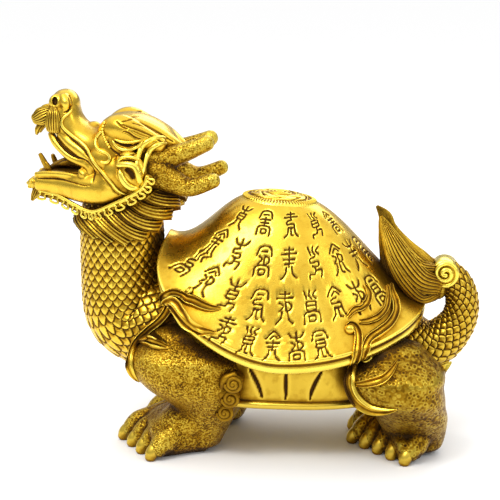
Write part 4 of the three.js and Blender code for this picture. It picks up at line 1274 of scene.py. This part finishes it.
# The neck carries painted shade along the edges of its scales, and a painted shadow close under the shell.
neck, neck_painted_shade = make_neck()
neck_painted_shade = neck_painted_shade + 0.7 * near_to(neck, shell_surface, 11)
piece("neck", BRASS, neck, neck_painted_shade, rounds=4, depth=0.6)

head, head_patina = make_head()
piece("head", BRASS, head, head_patina, rounds=16, depth=1.3)
piece("face_lines", BRASS, make_face_lines(head))
piece("mouth", AGED, make_mouth(), 0.6)
piece("teeth", AGED, make_teeth(), 0.6)
piece("moustache_and_beard", AGED, *make_moustache())
piece("jaw_frill", BRASS, *make_frill(), depth=0.5)
piece("mane", HAIR, *make_mane(), rounds=4, depth=0.5)
horn = make_horns()
both_pieces("horn", PITTED, horn)
piece("horn_seats", BRASS, make_horn_seats(head, horn))


def far_and_near(mesh):
    """The mesh on both sides, set back with the front leg on the far one."""
    return joined([moved(mesh, (STRIDE, 0, 0)), mirrored(mesh)])


front_leg, front_claws = make_leg(LEGS["front"])
hind_leg, hind_claws = make_leg(LEGS["hind"])
shaded = 0.8 * near_to(front_leg, shell_surface, 12)
both_pieces("front_leg", PITTED, front_leg, shaded, STRIDE, rounds=16, depth=0.8)
piece("front_claws", AGED, far_and_near(front_claws), 0.25)
piece("leg_curls", AGED, far_and_near(make_curls()), 0.85)
shaded = 0.7 * near_to(hind_leg, shell_surface, 8)
both_pieces("hind_leg", RINGED, hind_leg, shaded, rounds=16, depth=0.8)
piece("hind_claws", AGED, joined(both([hind_claws])), 0.25)

trim = []
for setback in (STRIDE, 0):
    arm = moved(upper_leg(LEGS["front"]), (setback, 0, 0))
    ground = surface_of([shell, arm, upper_leg(LEGS["hind"])])
    mesh, darkening = gathered([make_ribbons(ground, setback), make_knobs(ground, setback)])
    trim.append((mesh if setback else mirrored(mesh), darkening))
piece("scrolling_bands", BRASS, *gathered(trim), rounds=4, depth=0.4)

piece("tail", AGED, *make_tail(), rounds=4, depth=0.6)
piece("tail_roll", BRASS, make_tail_roll())
piece("tail_tuft", HAIR, *make_tuft(), rounds=4, depth=0.5)

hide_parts("dragon_turtle")


# Floor, light and camera

FLOOR = 40.0  # half the floor's width in metres
pale = bpy.data.materials.new("pale_floor")
pale.use_nodes = True
shader = pale.node_tree.nodes["Principled BSDF"]
shader.inputs["Base Color"].default_value = (0.93, 0.93, 0.93, 1)
shader.inputs["Roughness"].default_value = 0.7
data = bpy.data.meshes.new("floor")
corners = [(-FLOOR, -FLOOR, 0), (FLOOR, -FLOOR, 0), (FLOOR, FLOOR, 0), (-FLOOR, FLOOR, 0)]
data.from_pydata(corners, [], [(0, 1, 2, 3)])
data.materials.append(pale)
made = bpy.data.objects.new("floor", data)
bpy.context.collection.objects.link(made)


def area_light(name, place, size, power):
    """A light in metres and watts that looks at the figure's middle."""
    data = bpy.data.lights.new(name, "AREA")
    data.shape = "RECTANGLE"
    data.size, data.size_y = size
    data.energy = power
    made = bpy.data.objects.new(name, data)
    made.location = place
    made.rotation_euler = (Vector((0, 0, 0.1)) - Vector(place)).to_track_quat("-Z", "Y").to_euler()
    bpy.context.collection.objects.link(made)


area_light("key", (-0.45, -0.75, 1.2), (0.55, 0.4), 9)
area_light("fill", (0.9, -0.5, 0.6), (0.3, 0.6), 2)
area_light("back", (0.3, 1.0, 0.8), (0.9, 0.4), 4)

# The sky is dim at the horizon and bright overhead.
world = bpy.data.worlds.new("studio")
bpy.context.scene.world = world
world.use_nodes = True
tree = world.node_tree
direction = add_node(tree, "ShaderNodeTexCoord").outputs["Generated"]
split = add_node(tree, "ShaderNodeSeparateXYZ", {0: direction})
background = tree.nodes["Background"]
sky = ramp(tree, split.outputs["Z"], ((0.0, 0.22), (0.35, 0.42), (0.75, 1.0)))
plug(tree, background.inputs["Color"], sky)
background.inputs["Strength"].default_value = 1.35

CAMERA_DISTANCE = 0.95  # metres
CAMERA_HEIGHT = 0.1256  # the height of the point it looks at
AZIMUTH, ELEVATION = math.radians(5), math.radians(13)
camera_data = bpy.data.cameras.new("camera")
camera_data.lens = 105.2
camera_data.sensor_width = 36
camera = bpy.data.objects.new("camera", camera_data)
level = math.cos(ELEVATION)
away = Vector((math.sin(AZIMUTH) * level, -math.cos(AZIMUTH) * level, math.sin(ELEVATION)))
camera.location = Vector((0, 0, CAMERA_HEIGHT)) + away * CAMERA_DISTANCE
camera.rotation_euler = away.to_track_quat("Z", "Y").to_euler()
bpy.context.collection.objects.link(camera)
bpy.context.scene.camera = camera
bpy.context.scene.view_settings.view_transform = "Standard"
